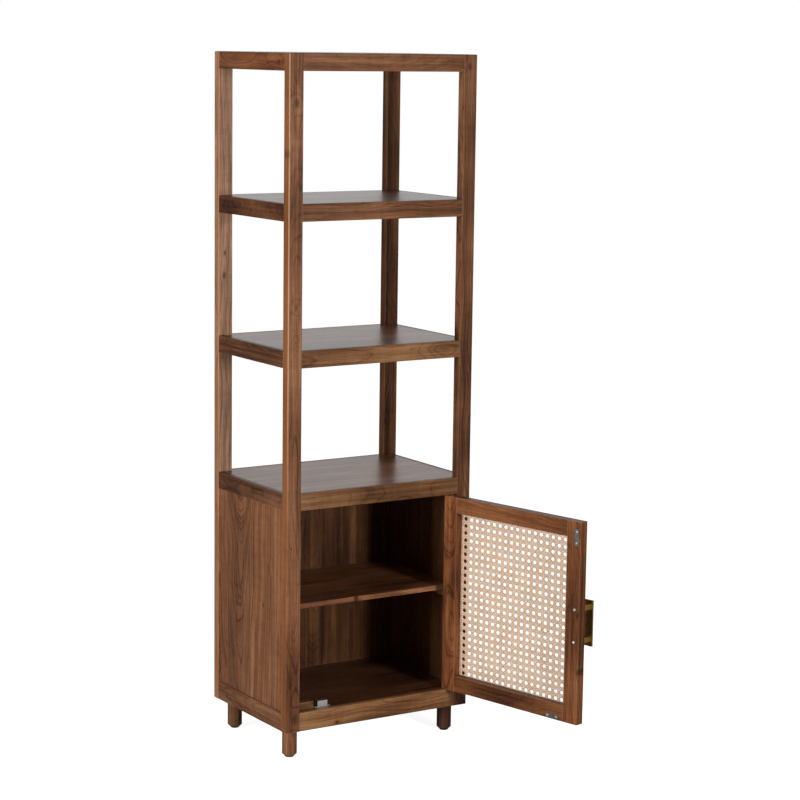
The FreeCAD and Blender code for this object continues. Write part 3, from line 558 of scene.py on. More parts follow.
@dataclass(frozen=True)
class WovenCane:
    """Strands split from rattan bark, woven wet and dried tight.

    The glossy bark side gives a pale pinkish beige, with fine lines along each strand, painted shade along
    the strand's rims, and slow changes of tone from one strand to the next.

    Attributes:
        pale: The colour of the strands' crowns.
        deep: The colour of the painted shade on the strands' rims.
        patch: How long the changes of tone are.
        lines: How many fine lines run on half a strand's width.
    """

    pale: str = "#e9ceb3"
    deep: str = "#c9a283"
    patch: float = 38.46 * MM
    lines: float = 7.0

    def shader(self, add: Adder) -> Node:
        """Add the nodes of the cane, from the strand's own place across it.

        Args:
            add: Adds a node to the material's tree.

        Returns:
            The shader.
        """
        across = add("ShaderNodeAttribute", attribute_name="across").outputs["Fac"]
        coordinates = add(Kind.COORDINATES).outputs["Object"]
        tone = add(Kind.NOISE, coordinates, 1.0 / self.patch, 3.0)
        streak = add(Kind.LINE_NOISE, across, self.lines, 1.0)
        # Painted shade: each strand darkens towards its rims.
        rim_shade = add(Kind.RANGE, add(Kind.ABSOLUTE, across), 0.45, 1.0)
        mottled = add(Kind.RANGE, tone, 0.35, 0.7, 0.0, 0.3)
        mixed = add(Kind.ADD, rim_shade, mottled, use_clamp=True)
        lined = add(Kind.MULTIPLY_ADD, streak, 0.22, mixed, use_clamp=True)
        return add(Kind.SHADER, named={
            "Base Color": add(Kind.MIX, lined, linear(self.pale), linear(self.deep)),
            "Roughness": add(Kind.RANGE, tone, 0.0, 1.0, 0.42, 0.6),
            "Specular IOR Level": 0.35,
            "Normal": add(Kind.BUMP, 0.3, 0.1 * MM, named={"Height": streak}),
        })


@dataclass(frozen=True)
class Metal:
    """A solid or plated metal: its worn edges, and a film or brushing that varies over it.

    Attributes:
        name: What the metal is and how its surface was made.
        body: The colour of its faces.
        worn: The colour of its rubbed edges.
        film: The colour of the patina's darker patches.
        roughness: The roughness of its smoothest and its dullest spots.
        patch: How large the patches are.
        wear: How much of the edge colour shows.
        bronze: The colour of its bronzed pieces.
        bronzed_above: The height above which it is bronzed, for the catch that the photo doesn't show.
    """

    name: str
    body: str
    worn: str
    film: str
    roughness: tuple[float, float]
    patch: float
    wear: float = 0.5
    bronze: str = "#2c1c10"
    bronzed_above: float | None = None

    def material(self) -> Material:
        """Return a new material of this metal."""
        return new_material(self.name, self.shader)

    def shader(self, add: Adder) -> Node:
        """Add the nodes of the metal.

        Args:
            add: Adds a node to the material's tree.

        Returns:
            The shader.
        """
        coordinates = add(Kind.COORDINATES).outputs["Object"]
        patches = add(Kind.NOISE, coordinates, 1.0 / self.patch, 4.0)
        share = add(Kind.RANGE, patches, 0.35, 0.68)
        filmed = add(Kind.MIX, share, linear(self.body), linear(self.film))
        edge = edge_mask(add, radius=0.8 * MM, strength=self.wear)
        colour = add(Kind.MIX, edge, filmed, linear(self.worn))
        if self.bronzed_above:
            height = add(Kind.SPLIT, coordinates).outputs["Z"]
            high = add(Kind.GREATER_THAN, height, self.bronzed_above)
            colour = add(Kind.MIX, high, colour, linear(self.bronze))
        return add(Kind.SHADER, named={
            "Base Color": colour,
            "Metallic": 1.0,
            "Roughness": add(Kind.RANGE, patches, 0.3, 0.7, *self.roughness),
            "Normal": add(Kind.BUMP, 0.12, 0.1 * MM, named={"Height": patches}),
        })


AGED_BRASS = Metal("Antiqued brass, brushed and lacquered", body="#cfb06c", worn="#dcc38c", film="#a88e55",
                   roughness=(0.3, 0.5), patch=14 * MM)
PIVOT_BRASS = Metal("Turned brass", body="#8d6d38", worn="#b3925a", film="#6b5128", roughness=(0.22, 0.36),
                    patch=4 * MM)
STRIKE_STEEL = Metal("Polished nickel plated steel", body="#a3a29e", worn="#dddcd8", film="#7c7a76",
                     roughness=(0.1, 0.24), patch=5 * MM)
CATCH_STEEL = Metal("Zinc plated steel, the upper catch bronzed", body="#dededc", worn="#f4f4f2",
                    film="#b9bbb9", roughness=(0.36, 0.52), patch=3 * MM, bronzed_above=0.4)
ZINC_STEEL = Metal("Zinc plated steel", body="#cbc7c0", worn="#e6e3dd", film="#a5a29c",
                   roughness=(0.42, 0.58), patch=3 * MM)


@dataclass(frozen=True)
class BlackPlastic:
    """Moulded polyethylene of the glides: near black, with a fine stipple that dulls it.

    Attributes:
        colour: The plastic's colour.
        scuffed: The colour of its scuffed spots.
        stipple: How far apart the dots of the stipple lie. It is really finer, and is drawn so that it shows.
        scuff: How large the scuffed spots are.
    """

    colour: str = "#0e0d0d"
    scuffed: str = "#1f1d1c"
    stipple: float = 1.111 * MM
    scuff: float = 6.25 * MM

    def shader(self, add: Adder) -> Node:
        """Add the nodes of the plastic.

        Args:
            add: Adds a node to the material's tree.

        Returns:
            The shader.
        """
        coordinates = add(Kind.COORDINATES).outputs["Object"]
        stipple = add(Kind.NOISE, coordinates, 1.0 / self.stipple, 2.0)
        scuffs = add(Kind.NOISE, coordinates, 1.0 / self.scuff, 3.0)
        share = add(Kind.RANGE, scuffs, 0.5, 0.75)
        return add(Kind.SHADER, named={
            "Base Color": add(Kind.MIX, share, linear(self.colour), linear(self.scuffed)),
            "Roughness": add(Kind.RANGE, stipple, 0.0, 1.0, 0.42, 0.62),
            "Specular IOR Level": 0.4,
            "Normal": add(Kind.BUMP, 0.2, 0.1 * MM, named={"Height": stipple}),
        })


def grow(name: str, points: list[tuple[float, ...]], tree: NodeTree, growths: list[dict],
         to_frame: Matrix) -> Object:
    """Grow a piece on points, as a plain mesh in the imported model's frame.

    Args:
        name: The piece's name.
        points: The points that the tree builds on.
        tree: The geometry tree.
        growths: The values of the tree's named inputs, one set for each time that it is added.
        to_frame: The matrix from the piece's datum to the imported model's frame.

    Returns:
        The piece, without modifiers.
    """
    start = bpy.data.meshes.new(name)
    start.from_pydata(points, [], [])
    piece = bpy.data.objects.new(name, start)
    bpy.context.scene.collection.objects.link(piece)
    sockets = {s.name: s.identifier for s in tree.interface.items_tree if s.in_out == "INPUT"}
    for values in growths:
        modifier = piece.modifiers.new(tree.name, "NODES")
        modifier.node_group = tree
        for socket, value in values.items():
            modifier[sockets[socket]] = value
    graph = bpy.context.evaluated_depsgraph_get()
    mesh = bpy.data.meshes.new_from_object(piece.evaluated_get(graph), depsgraph=graph)
    mesh.transform(to_frame)
    mesh.name = name
    piece.modifiers.clear()
    piece.data = mesh
    bpy.data.meshes.remove(start)
    return piece


@dataclass
class Carcass:
    """The four posts, the rails of the five tiers and their boards.

    Attributes:
        board_seams: Where the boards of each tier meet, from the front to the back.
        redder_face: Where the left posts start to be coloured redder, across them, and where that is at its
            fullest.
        over_rail: How far the heart of a rail's log lies above the rail's middle.
        over_boards: How far the heart of a log lies above the boards' top.
    """

    board_seams: tuple[float, ...] = (-0.078, 0.012, 0.094)
    redder_face: tuple[float, float] = (-0.2490, -0.2497)
    over_rail: float = 0.02
    over_boards: float = 0.07

    def dress_posts(self) -> None:
        """Stain the posts, whose grain runs upright."""
        left_knots = (
            Knot(-0.231, 1.513, 0.007, 0.6), Knot(-0.254, 1.40, 0.007, 0.6), Knot(-0.230, 1.057, 0.005, 0.5),
            Knot(-0.239, 0.505, 0.0018, 0.9), Knot(-0.237, 0.185, 0.002, 0.9),
            Knot(-0.237, 0.1755, 0.0018, 0.9), Knot(-0.226, 0.1, 0.008, 0.5),
        )
        rear_knots = (Knot(-0.234, 1.153, 0.004, 0.6), Knot(-0.236, 1.1, 0.005, 0.6))
        StainedAcacia(
            heart=(-0.215, -0.09), lean=0.055, seed=3.0, ring_width=0.012, redder_side=self.redder_face,
            worn_and_highlit_corner=(-0.25, -0.178, 0.55), figured=0.34, knots=left_knots,
        ).stain("front_left_post")
        StainedAcacia(
            heart=(0.26, -0.1), lean=0.05, seed=5.0, light=0.86, knots=(Knot(0.229, 1.595, 0.006, 0.6),),
        ).stain("front_right_post")
        StainedAcacia(
            tone=Tone.FADED, heart=(-0.28, 0.11), lean=-0.05, seed=7.0, light=1.5, contrast=0.7,
            redder_side=self.redder_face, worn_and_highlit_corner=(-0.25, 0.154, 0.55), knots=rear_knots,
        ).stain("rear_left_post")
        StainedAcacia(
            tone=Tone.UMBER, heart=(0.2, 0.1), lean=0.04, seed=9.0, light=0.68,
        ).stain("rear_right_post")

    def dress_tiers(self) -> None:
        """Stain the rails and boards of each tier, each rail from a log of its own."""
        level_rails = {
            "cabinet_floor": (Tone.HONEY, 0.9, (Knot(0.078, -0.113, 0.004, 0.8),)),
            "cabinet_top": (Tone.HONEY, 0.72, ()),
            "middle_shelf": (Tone.HONEY, 0.85, ()),
            "upper_shelf": (Tone.CHESTNUT, 0.95, ()),
            "top": (Tone.CHESTNUT, 0.95, ()),
        }
        side_rails = {
            "cabinet_floor": (Tone.CHESTNUT, 0.7, ()),
            "cabinet_top": (Tone.CHESTNUT, 0.5, ()),
            "middle_shelf": (Tone.CHESTNUT, 0.62, ()),
            "upper_shelf": (Tone.RUSSET, 0.45, (Knot(1.265, -0.003, 0.004, 0.8),)),
            "top": (Tone.RUSSET, 1.05, (Knot(1.599, -0.08, 0.0025, 0.9), Knot(1.604, -0.13, 0.0025, 0.9))),
        }
        board_gloss_and_light = {
            "cabinet_floor": (0.3, 0.5), "cabinet_top": (0.3, 1.35), "middle_shelf": (0.38, 1.15),
            "upper_shelf": (0.6, 1.0), "top": (0.6, 1.0),
        }
        for tier_number, (tier, (gloss, board_light)) in enumerate(board_gloss_and_light.items()):
            for side_number, side in enumerate(("front_rail", "back_rail", "left_rail", "right_rail")):
                level = side in ("front_rail", "back_rail")
                tone, light, knots = (level_rails if level else side_rails)[tier]
                low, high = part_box(f"{tier}_{side}")
                StainedAcacia(
                    tone=tone, light=light, knots=knots, cut=Cut.LEVEL_RAIL if level else Cut.SIDE_RAIL,
                    heart=((low.z + high.z) / 2 + self.over_rail, -0.24 if level else -0.30), lean=0.022,
                    seed=11.0 + 4.0 * tier_number + side_number, figured=0.36,
                ).stain(f"{tier}_{side}")
            StainedAcacia(
                cut=Cut.SHELF_BOARDS, heart=(0.0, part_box(f"{tier}_boards")[1].z + self.over_boards),
                seed=31.0 + tier_number, seams=self.board_seams, figured=0.35, light=board_light,
                gloss=gloss, satin=(0.24, 0.4),
            ).stain(f"{tier}_boards")


@dataclass
class Cabinet:
    """The boarded walls, the back and the inner shelf with its cleats.

    Attributes:
        wall_length: How far a side wall runs from front to back.
        wall_shares: The shares of that length that its boards take, from the front.
        back_width: How wide the back is.
        back_shares: The shares of that width that its boards take, from the left.
        shelf_seams: Where the boards of the inner shelf meet, from the front to the back.
    """

    wall_length: float = 0.308
    wall_shares: tuple[float, ...] = (0.16, 0.34, 0.38, 0.12)
    back_width: float = 0.428
    back_shares: tuple[float, ...] = (0.185, 0.2, 0.2, 0.2, 0.215)
    shelf_seams: tuple[float, ...] = (-0.066, 0.021, 0.1)

    @staticmethod
    def seams(length: float, shares: tuple[float, ...]) -> tuple[float, ...]:
        """Return where boards meet, from their shares of a length, about the length's middle."""
        return tuple(length * (total - 0.5) for total in itertools.accumulate(shares[:-1]))

    def dress(self) -> None:
        """Stain the walls, the back, the inner shelf and the cleats."""
        right_wall = StainedAcacia(
            cut=Cut.UPRIGHT_ACROSS_Y, seams=self.seams(self.wall_length, self.wall_shares),
            heart=(0.02, 0.31), lean=-0.07, seed=43.0, light=0.5, figured=0.34, contrast=0.65,
        )
        right_wall.stain("right_side_wall")
        replace(
            right_wall, heart=(0.081, -0.352), lean=-0.09, seed=41.0, light=0.9, figured=0.58, contrast=0.45,
            boldness=-0.4, knots=(Knot(-0.06, 0.349, 0.0035, 0.9), Knot(-0.087, 0.443, 0.007, 0.3)),
        ).stain("left_side_wall")
        StainedAcacia(
            tone=Tone.UMBER, heart=(0.0, 0.25), lean=0.06, seed=45.0, figured=0.3, light=0.8,
            seams=self.seams(self.back_width, self.back_shares),
        ).stain("back_wall")
        StainedAcacia(
            cut=Cut.SHELF_BOARDS, heart=(0.0, 0.42), lean=0.05, seed=47.0, seams=self.shelf_seams,
            figured=0.35, light=1.2, knots=(Knot(-0.138, -0.04, 0.004, 0.8),),
        ).stain("inner_shelf")
        cleats = StainedAcacia(tone=Tone.UMBER, cut=Cut.SIDE_RAIL, heart=(0.36, -0.3), seed=49.0)
        cleats.stain("inner_shelf_cleats")


class Slant(Enum):
    """Which way a family of slanting strands climbs."""

    RISING = 1.0
    FALLING = -1.0


def strands_tree() -> NodeTree:
    """Build the tree that adds one family of parallel strands to a sheet of woven cane.

    Lines are copied side by side, cut into short steps, trimmed to the panel, waved over and under the
    other families, and given the section of a strand.

    Returns:
        The geometry tree.
    """
    tree, add, given = new_group("Cane strands", "GeometryNodeTree", {
        "Geometry": "Geometry", "Start": "Vector", "Run": "Vector", "Step": "Vector", "Count": "Int",
        "Half Panel": "Vector", "Lattice": "Vector", "Waves Per Metre": "Vector", "Weave": "Float",
        "Crossing": "Float", "Sample": "Float", "Strand": "Vector", "Material": "Material",
    }, {"Woven": "Geometry"})
    starts = add("GeometryNodeMeshLine", given["Count"], given["Start"], given["Step"], mode="OFFSET")
    line = add("GeometryNodeCurvePrimitiveLine", named={"End": given["Run"]})
    copied = add("GeometryNodeInstanceOnPoints", starts, named={"Instance": line})
    stepped = add("GeometryNodeResampleCurve", add(Kind.REALIZE, copied),
                  named={"Length": given["Sample"]}, mode="LENGTH")
    position = add("GeometryNodeInputPosition")

    reach = add(Kind.VECTOR_ABSOLUTE, position)
    beyond = add(Kind.VECTOR_SUBTRACT, reach, given["Half Panel"])
    over = add(Kind.SPLIT, beyond).outputs
    outside = add("FunctionNodeCompare", add(Kind.MAXIMUM, over["X"], over["Y"]), 0.0,
                  data_type="FLOAT", operation="GREATER_THAN")
    trimmed = add("GeometryNodeDeleteGeometry", stepped, outside, domain="POINT")

    from_lattice = add(Kind.VECTOR_SUBTRACT, position, given["Lattice"])
    waves = add(Kind.VECTOR_DOT_PRODUCT, from_lattice, given["Waves Per Metre"])
    phase = add(Kind.MULTIPLY, waves, FULL_TURN)
    cosine = add(Kind.COSINE, phase)
    near_pair = add(Kind.MULTIPLY_ADD, cosine, 0.5, 0.5)
    dip = add(Kind.MULTIPLY, add(Kind.SINE, phase), near_pair)
    woven = add(Kind.MULTIPLY, dip, given["Weave"])
    height = add(Kind.MULTIPLY_ADD, cosine, given["Crossing"], woven)
    offset = add(Kind.JOIN, named={"Z": height})
    waved = add("GeometryNodeSetPosition", trimmed, named={"Offset": offset})
    level = add("GeometryNodeSetCurveNormal", waved, mode="Z_UP")

    section = add("GeometryNodeCurvePrimitiveCircle", 6, 1.0)
    marked = add("GeometryNodeStoreNamedAttribute", section, named={
        "Name": "across", "Value": add(Kind.SPLIT, position),
    }, data_type="FLOAT", domain="POINT")
    shaped = add("GeometryNodeTransform", marked, named={"Scale": given["Strand"]})
    strands = add("GeometryNodeCurveToMesh", level, shaped, named={"Fill Caps": True})
    joined = add("GeometryNodeJoinGeometry", add("GeometryNodeSetShadeSmooth", strands))
    tree.links.new(given["Geometry"], joined.inputs["Geometry"])
    finished = add("GeometryNodeSetMaterial", add(Kind.REALIZE, joined),
                   named={"Material": given["Material"]})
    add("NodeGroupOutput", finished)
    return tree


def screw_tree() -> NodeTree:
    """Build the tree that puts a cross recessed screw on every point, facing along the datum's Y axis.

    A grid is rolled up: its X axis turns round the screw, and its Y axis runs from the middle of the head
    over the face, down the side, in under the head and down the shank.

    Returns:
        The geometry tree.
    """
    tree, add, given = new_group("Cross recessed screws", "GeometryNodeTree", {
        "Geometry": "Geometry", "Head Radius": "Float", "Head Height": "Float", "Slot Width": "Float",
        "Slot Depth": "Float", "Shank Radius": "Float", "Shank Length": "Float", "Seed": "Int",
        "Material": "Material",
    }, {"Screws": "Geometry"})
    grid = add("GeometryNodeMeshGrid", FULL_TURN, 1.0, 49, 15)
    polar = add(Kind.SPLIT, add("GeometryNodeInputPosition")).outputs
    share = add(Kind.ADD, polar["Y"], 0.5)
    bounds = itertools.pairwise((0.0, 0.7, 0.8, 0.9, 1.0))
    on_face, on_side, under_head, on_shank = (add(Kind.RANGE, share, low, high) for low, high in bounds)
    wide = add(Kind.MULTIPLY, on_face, given["Head Radius"])
    inset = add(Kind.SUBTRACT, given["Head Radius"], given["Shank Radius"])
    radius = add(Kind.SUBTRACT, wide, add(Kind.MULTIPLY, under_head, inset))
    east = add(Kind.MULTIPLY, add(Kind.COSINE, polar["X"]), radius)
    north = add(Kind.MULTIPLY, add(Kind.SINE, polar["X"]), radius)

    bulge = add(Kind.POWER, on_face, 3.0)
    dome = add(Kind.MULTIPLY_ADD, bulge, -0.55, 1.0)
    crown = add(Kind.MULTIPLY, dome, given["Head Height"])
    rim = add(Kind.MULTIPLY, given["Head Height"], 0.45)
    topped = add(Kind.SUBTRACT, crown, add(Kind.MULTIPLY, on_side, rim))
    sunk = add(Kind.MULTIPLY, on_shank, given["Shank Length"])
    outer = add(Kind.SUBTRACT, topped, sunk)
    arm = add(Kind.MINIMUM, add(Kind.ABSOLUTE, east), add(Kind.ABSOLUTE, north))
    in_arm = add(Kind.LESS_THAN, arm, given["Slot Width"])
    in_cross = add(Kind.MULTIPLY, in_arm, add(Kind.LESS_THAN, on_face, 0.62))
    cut = add(Kind.MULTIPLY, in_cross, given["Slot Depth"])
    rolled = add(Kind.JOIN, east, add(Kind.SUBTRACT, outer, cut), north)
    shaped = add("GeometryNodeSetPosition", grid, named={"Position": rolled})
    closed = add("GeometryNodeMergeByDistance", shaped, named={"Distance": 0.005 * MM})
    chance = add("FunctionNodeRandomValue", named={"Max": FULL_TURN, "Seed": given["Seed"]},
                 data_type="FLOAT")
    copied = add("GeometryNodeInstanceOnPoints", given["Geometry"], named={
        "Instance": closed, "Rotation": add(Kind.JOIN, 0.0, chance),
    })
    finished = add("GeometryNodeSetMaterial", add(Kind.REALIZE, copied),
                   named={"Material": given["Material"]})
    add("NodeGroupOutput", finished)
    return tree


@dataclass
class CaneDoor:
    """The framed door: its stiles and rails, the woven cane in their rebate and the beads that hold it.

    Attributes:
        middle: The panel's middle, from the pivot with the door closed, across and up.
        half_panel: Half the width and half the height of the woven sheet.
        plane: How far behind the pivot the middle of the cane's thickness lies.
        pitch: The distance from hole to hole, across and up.
        lattice: A crossing of two pairs of strands, from the panel's middle.
        pair_share: Half the distance between the two strands of a pair, as a share of the pitch.
        strand: Half the width and half the thickness of a strand.
        swing: How far a strand rises over and dips under the others.
        sample: The length of one step along a strand.
    """

    middle: tuple[float, float] = (-0.203, 0.352)
    half_panel: tuple[float, float] = (0.1792, 0.2052)
    plane: float = -0.0032
    pitch: tuple[float, float] = (0.0182, 0.0171)
    lattice: tuple[float, float] = (0.1681, 0.1925)
    pair_share: float = 0.143
    strand: tuple[float, float] = (0.002, 0.00028)
    swing: float = 0.0005
    sample: float = 0.0029

    def dress(self) -> None:
        """Stain the door's frame and beads, and finish its pins and bushes."""
        stile = StainedAcacia(tone=Tone.RUSSET, datum=DOOR, figured=0.4)
        rail = replace(stile, cut=Cut.LEVEL_RAIL)
        stile_knots = (Knot(-0.411, 0.372, 0.004, 0.8), Knot(-0.415, 0.24, 0.005, 0.7))
        woods = {
            "door_hinge_stile": replace(stile, heart=(-0.02, 0.08), seed=61.0, light=1.15),
            "door_free_stile": replace(stile, heart=(-0.38, 0.09), lean=-0.045, seed=63.0, knots=stile_knots),
            "door_bottom_rail": replace(rail, heart=(0.17, 0.08), lean=0.02, seed=65.0, light=0.85),
            "door_top_rail": replace(rail, heart=(0.6, 0.09), lean=-0.02, seed=67.0, light=0.9),
            "door_cane_beads": replace(stile, seed=69.0, figured=0.5),
        }
        for node, wood in woods.items():
            wood.stain(node)
        brass = PIVOT_BRASS.material()
        dress("door_pivot_pins", brass)
        dress("door_pivot_bushes", brass)

    def straight_families(self) -> list[dict]:
        """Work out the lines and the waves of the upright and the level strands, two to a pair.

        Returns:
            The input values of each family.
        """
        # The lines of a family are spaced on one axis and run along the other. Where an upright strand
        # goes over, a level one goes under.
        families = []
        for side, (spaced, over) in itertools.product((-1.0, 1.0), ((0, 1.0), (1, -1.0))):
            along = 1 - spaced
            pitch, half, corner = self.pitch[spaced], self.half_panel[spaced], self.lattice[spaced]
            gap = side * self.pair_share
            first = math.ceil((-half - corner) / pitch - gap) + gap
            start, run, step, waves = ([0.0, 0.0, 0.0] for _ in range(4))
            start[spaced] = corner + first * pitch
            start[along] = -self.half_panel[along]
            run[along] = 2.0 * self.half_panel[along]
            step[spaced] = pitch
            waves[along] = 1.0 / self.pitch[along]
            families.append({
                "Start": start, "Run": run, "Step": step, "Waves Per Metre": waves, "Crossing": 0.0,
                "Count": math.floor((half - corner) / pitch - first) + 1,
                "Weave": over * side * 2.0 * self.swing,
            })
        return families

    def slanting_families(self) -> list[dict]:
        """Work out the lines and the heights of the two families of slanting strands.

        Returns:
            The input values of each family.
        """
        (across, up), (half_x, half_y), (corner_x, corner_y) = self.pitch, self.half_panel, self.lattice
        climb = 2.0 * half_y / up
        families = []
        for slant in Slant:
            low = slant.value * (-half_y - corner_y) / up
            reach = climb if slant is Slant.RISING else 0.0
            first = math.ceil((-half_x - corner_x) / across - low - reach) + 0.5
            families.append({
                "Start": (corner_x + (low + first) * across, -half_y, 0.0),
                "Run": (slant.value * climb * across, 2.0 * half_y, 0.0),
                "Step": (across, 0.0, 0.0), "Count": math.ceil(2.0 * half_x / across + climb) + 1,
                "Waves Per Metre": (0.0, 1.0 / up, 0.0), "Weave": 0.0, "Crossing": slant.value * self.swing,
            })
        return families

    def weave(self) -> None:
        """Weave the cane and set it in the door's rebate."""
        tree = strands_tree()
        place = Matrix.Translation((self.middle[0], self.plane, self.middle[1]))
        upright = Matrix.Rotation(math.radians(90.0), 4, "X")
        # The slanting strands get darker rims, a painted shadow for the dark lines that they cast.
        for kind, families, cane in (("straight", self.straight_families(), WovenCane()),
                                     ("slanting", self.slanting_families(), WovenCane(deep="#a27a58"))):
            finish = new_material(f"Woven rattan cane, {kind} strands", cane.shader)
            shared = {
                "Half Panel": (*self.half_panel, 1.0), "Lattice": (*self.lattice, 0.0),
                "Sample": self.sample, "Strand": (*self.strand, 1.0), "Material": finish,
            }
            growths = [{**family, **shared} for family in families]
            piece = grow(f"door_cane_{kind}_strands", [], tree, growths, DOOR.matrix() @ place @ upright)
            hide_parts("door_cane")
            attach(piece, "door")


@dataclass
class DoorPull:
    """The brass pull on the door's outer face and the two screws that hold it from the inside.

    Attributes:
        across: Where the screws stand, from the pivot with the door closed.
        heights: How high the screws stand.
        face: How far behind the pivot the door's inner face lies.
        head_radius: The radius of a screw's head.
        head_height: How far a head stands proud.
        slot_width: Half the width of the cross recess.
        slot_depth: Its depth.
        shank_radius: The radius of the shank.
        shank_length: Its length.
    """

    across: float = -0.401
    heights: tuple[float, ...] = (0.308, 0.384)
    face: float = 0.016
    head_radius: float = 4.0 * MM
    head_height: float = 2.4 * MM
    slot_width: float = 0.45 * MM
    slot_depth: float = 1.2 * MM
    shank_radius: float = 2.0 * MM
    shank_length: float = 22.0 * MM

    def build(self, steel: Material) -> None:
        """Finish the pull, and make its screws.

        Args:
            steel: The screws' finish.
        """
        dress("door_handle", AGED_BRASS.material())
        points = [(self.across, self.face, height) for height in self.heights]
        piece = grow("door_pull_screws", points, screw_tree(), [{
            "Head Radius": self.head_radius, "Head Height": self.head_height, "Slot Width": self.slot_width,
            "Slot Depth": self.slot_depth, "Shank Radius": self.shank_radius,
            "Shank Length": self.shank_length, "Seed": 4, "Material": steel,
        }], DOOR.matrix())
        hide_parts("door_handle_screws")
        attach(piece, "door")


@dataclass
class Catches:
    """The magnetic catches, the plates that they hold, and the wooden stop and block beside them."""

    def dress(self, steel: Material) -> None:
        """Finish the catches, the plates, their screws and the blocks.

        Args:
            steel: The finish of the plates' screws.
        """
        catch_steel = CATCH_STEEL.material()
        for node in ("catch_plates", "catch_cases", "catch_screws"):
            dress(node, catch_steel)
        dress("door_strike_screws", steel)
        dress("door_strike_plates", STRIKE_STEEL.material())
        stop = StainedAcacia(tone=Tone.HONEY, cut=Cut.LEVEL_RAIL, heart=(0.1, -0.2), seed=71.0, light=0.8)
        stop.stain("door_stop")
        StainedAcacia(tone=Tone.UMBER, heart=(-0.2, -0.2), seed=73.0).stain("upper_catch_block")


@dataclass
class Legs:
    """The four turned legs, their glides, and the blocks and bolts that hold them.

    Attributes:
        lights: A factor on the colour of each leg.
        off_heart: How far the heart of a leg's log lies from the leg's middle, across and to the back.
    """

    lights: tuple[tuple[str, float], ...] = (
        ("front_left", 0.8), ("front_right", 0.3), ("rear_left", 0.62), ("rear_right", 0.4),
    )
    off_heart: tuple[float, float] = (0.01, -0.03)

    def dress(self, steel: Material) -> None:
        """Finish the legs, the glides, the blocks and the bolts.

        Args:
            steel: The finish of the bolts.
        """
        for number, (corner, light) in enumerate(self.lights):
            low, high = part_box(corner + "_leg")
            middle = (low + high) / 2 - CARCASS.origin
            heart = (middle.x + self.off_heart[0], middle.y + self.off_heart[1])
            StainedAcacia(heart=heart, seed=81.0 + number, light=light).stain(corner + "_leg")
        StainedAcacia(tone=Tone.UMBER, heart=(0.0, -0.3), seed=87.0).stain("leg_blocks")
        dress("leg_bolts", steel)
        dress("leg_glides", new_material("Moulded black polyethylene", BlackPlastic().shader))


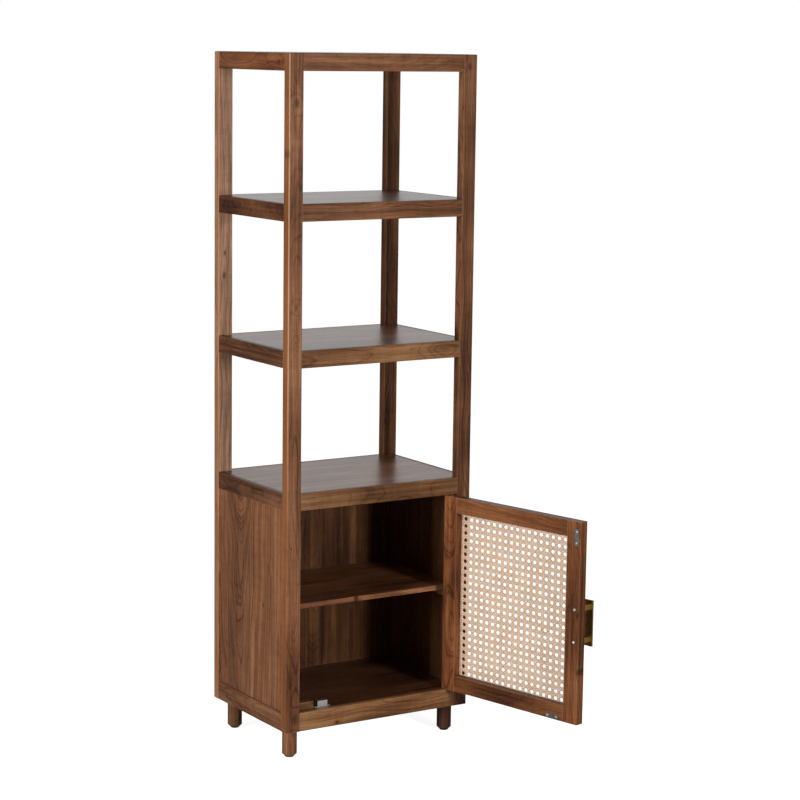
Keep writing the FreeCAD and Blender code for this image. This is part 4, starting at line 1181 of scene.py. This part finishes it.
@dataclass
class Studio:
    """A white floor and surround, two soft lamps and the camera.

    Attributes:
        floor_radius: How far the floor reaches.
        paint: How much light the floor sends back to the object.
        seen_paint: How much light it sends to the camera, besides its glow.
        glow: The strength of the glow that makes it look white.
        backdrop: Where the white behind the object begins in its gloss, and where it is full, by the cosine
            of the angle from straight behind it.
        ambient: The strength of the surround's light on the object.
        lamps: Each lamp's name, place from the middle of the carcass, length of its sides and watts.
        aim: What the lamps face, from the middle of the carcass.
        camera_place: Where the camera stands, from the middle of the carcass.
        heading: The camera's turn from the front, to the right.
        pitch: The camera's tilt below level.
        roll: The camera's lean.
        lens_mm: The lens's focal length.
        sensor_mm: The width of the sensor.
    """

    floor_radius: float = 14.0
    paint: float = 0.62
    seen_paint: float = 0.9
    glow: float = 0.88
    backdrop: tuple[float, float] = (0.5, 0.85)
    ambient: float = 0.13
    lamps: tuple[tuple[str, tuple[float, float, float], float, float], ...] = (
        ("front lamp", (0.6, -5.5, 1.5), 0.9, 150.0), ("left lamp", (-5.5, -1.0, 1.3), 1.6, 275.0),
    )
    aim: tuple[float, float, float] = (0.0, 0.0, 0.8)
    camera_place: tuple[float, float, float] = (-2.7835, -4.6387, 1.6482)
    heading: float = 0.5658
    pitch: float = -0.15405
    roll: float = 0.0133
    lens_mm: float = 103.6
    sensor_mm: float = 36.0

    def build(self) -> None:
        """Build the floor, the surround, the lamps and the camera."""
        bpy.context.scene.view_settings.view_transform = "Standard"
        bpy.ops.mesh.primitive_circle_add(vertices=64, radius=self.floor_radius, fill_type="NGON")
        floor = bpy.context.object
        floor.name = "studio_floor"
        floor.data.materials.append(new_material("White painted floor", self.floor_shader))
        self.surround()
        self.hang_lamps()
        self.stand_camera()

    def floor_shader(self, add: Adder) -> Node:
        """Add the nodes of a floor that looks white, keeps the object's shadow and lights it as pale paint.

        Args:
            add: Adds a node to the material's tree.

        Returns:
            The shader.
        """
        path = add("ShaderNodeLightPath").outputs
        seen = add(Kind.MAXIMUM, path["Is Camera Ray"], path["Is Transmission Ray"])
        paint, seen_paint = (
            add("ShaderNodeBsdfDiffuse", (*[grey] * 3, 1.0)) for grey in (self.paint, self.seen_paint)
        )
        glow = add("ShaderNodeEmission", named={"Strength": self.glow})
        return add("ShaderNodeMixShader", seen, paint, add("ShaderNodeAddShader", seen_paint, glow))

    def surround(self) -> None:
        """Light the object softly from all round, and show white behind it and in its gloss."""
        world = bpy.data.worlds.new("White studio")
        bpy.context.scene.world = world
        world.use_nodes = True
        world.node_tree.nodes.clear()
        add = partial(add_node, world.node_tree)
        path = add("ShaderNodeLightPath").outputs
        direction = add(Kind.COORDINATES).outputs["Generated"]
        away = (math.sin(self.heading), math.cos(self.heading), 0.0)
        backdrop = add(Kind.RANGE, add(Kind.VECTOR_DOT_PRODUCT, direction, away), *self.backdrop)
        glossy = add(Kind.MULTIPLY, path["Is Glossy Ray"], backdrop)
        seen = add(Kind.MAXIMUM, path["Is Camera Ray"], glossy)
        white = add(Kind.MAXIMUM, seen, path["Is Transmission Ray"])
        level = add(Kind.RANGE, white, 0.0, 1.0, self.ambient, 1.0)
        background = add("ShaderNodeBackground", (1.0, 1.0, 1.0, 1.0), level)
        add("ShaderNodeOutputWorld", background)

    def hang_lamps(self) -> None:
        """Hang the soft lamps, each facing the middle of the object."""
        for name, place, size, power in self.lamps:
            lamp = bpy.data.lights.new(name, "AREA")
            lamp.size = size
            lamp.energy = power
            hung = bpy.data.objects.new(name, lamp)
            hung.location = CARCASS.origin + Vector(place)
            hung.rotation_euler = (Vector(self.aim) - Vector(place)).to_track_quat("-Z", "Y").to_euler()
            bpy.context.scene.collection.objects.link(hung)

    def stand_camera(self) -> None:
        """Stand the camera where the photograph was taken from."""
        data = bpy.data.cameras.new("camera")
        data.lens = self.lens_mm
        data.sensor_width = self.sensor_mm
        camera = bpy.data.objects.new("camera", data)
        bpy.context.scene.collection.objects.link(camera)
        upright = math.radians(90.0) + self.pitch
        turn = Matrix.Rotation(-self.heading, 4, "Z") @ Matrix.Rotation(upright, 4, "X")
        turn @= Matrix.Rotation(self.roll, 4, "Z")
        camera.matrix_world = Matrix.Translation(CARCASS.origin + Vector(self.camera_place)) @ turn
        bpy.context.scene.camera = camera


def main() -> None:
    """Build the sub-assemblies in order, and report each one."""
    logging.basicConfig(level=logging.INFO, format="%(name)s: %(message)s")
    steel = ZINC_STEEL.material()
    carcass = Carcass()
    carcass.dress_posts()
    carcass.dress_tiers()
    LOG.info("carcass: posts, rails and boards stained")
    Cabinet().dress()
    LOG.info("cabinet: walls, back and inner shelf stained")
    door = CaneDoor()
    door.dress()
    door.weave()
    LOG.info("door: frame stained and cane woven")
    DoorPull().build(steel)
    LOG.info("pull: brass aged and screws made")
    Catches().dress(steel)
    LOG.info("catches: plated and set")
    Legs().dress(steel)
    LOG.info("legs: stained, with glides")
    Studio().build()
    LOG.info("studio: floor, lamps and camera ready")


if __name__ == "__main__":
    main()
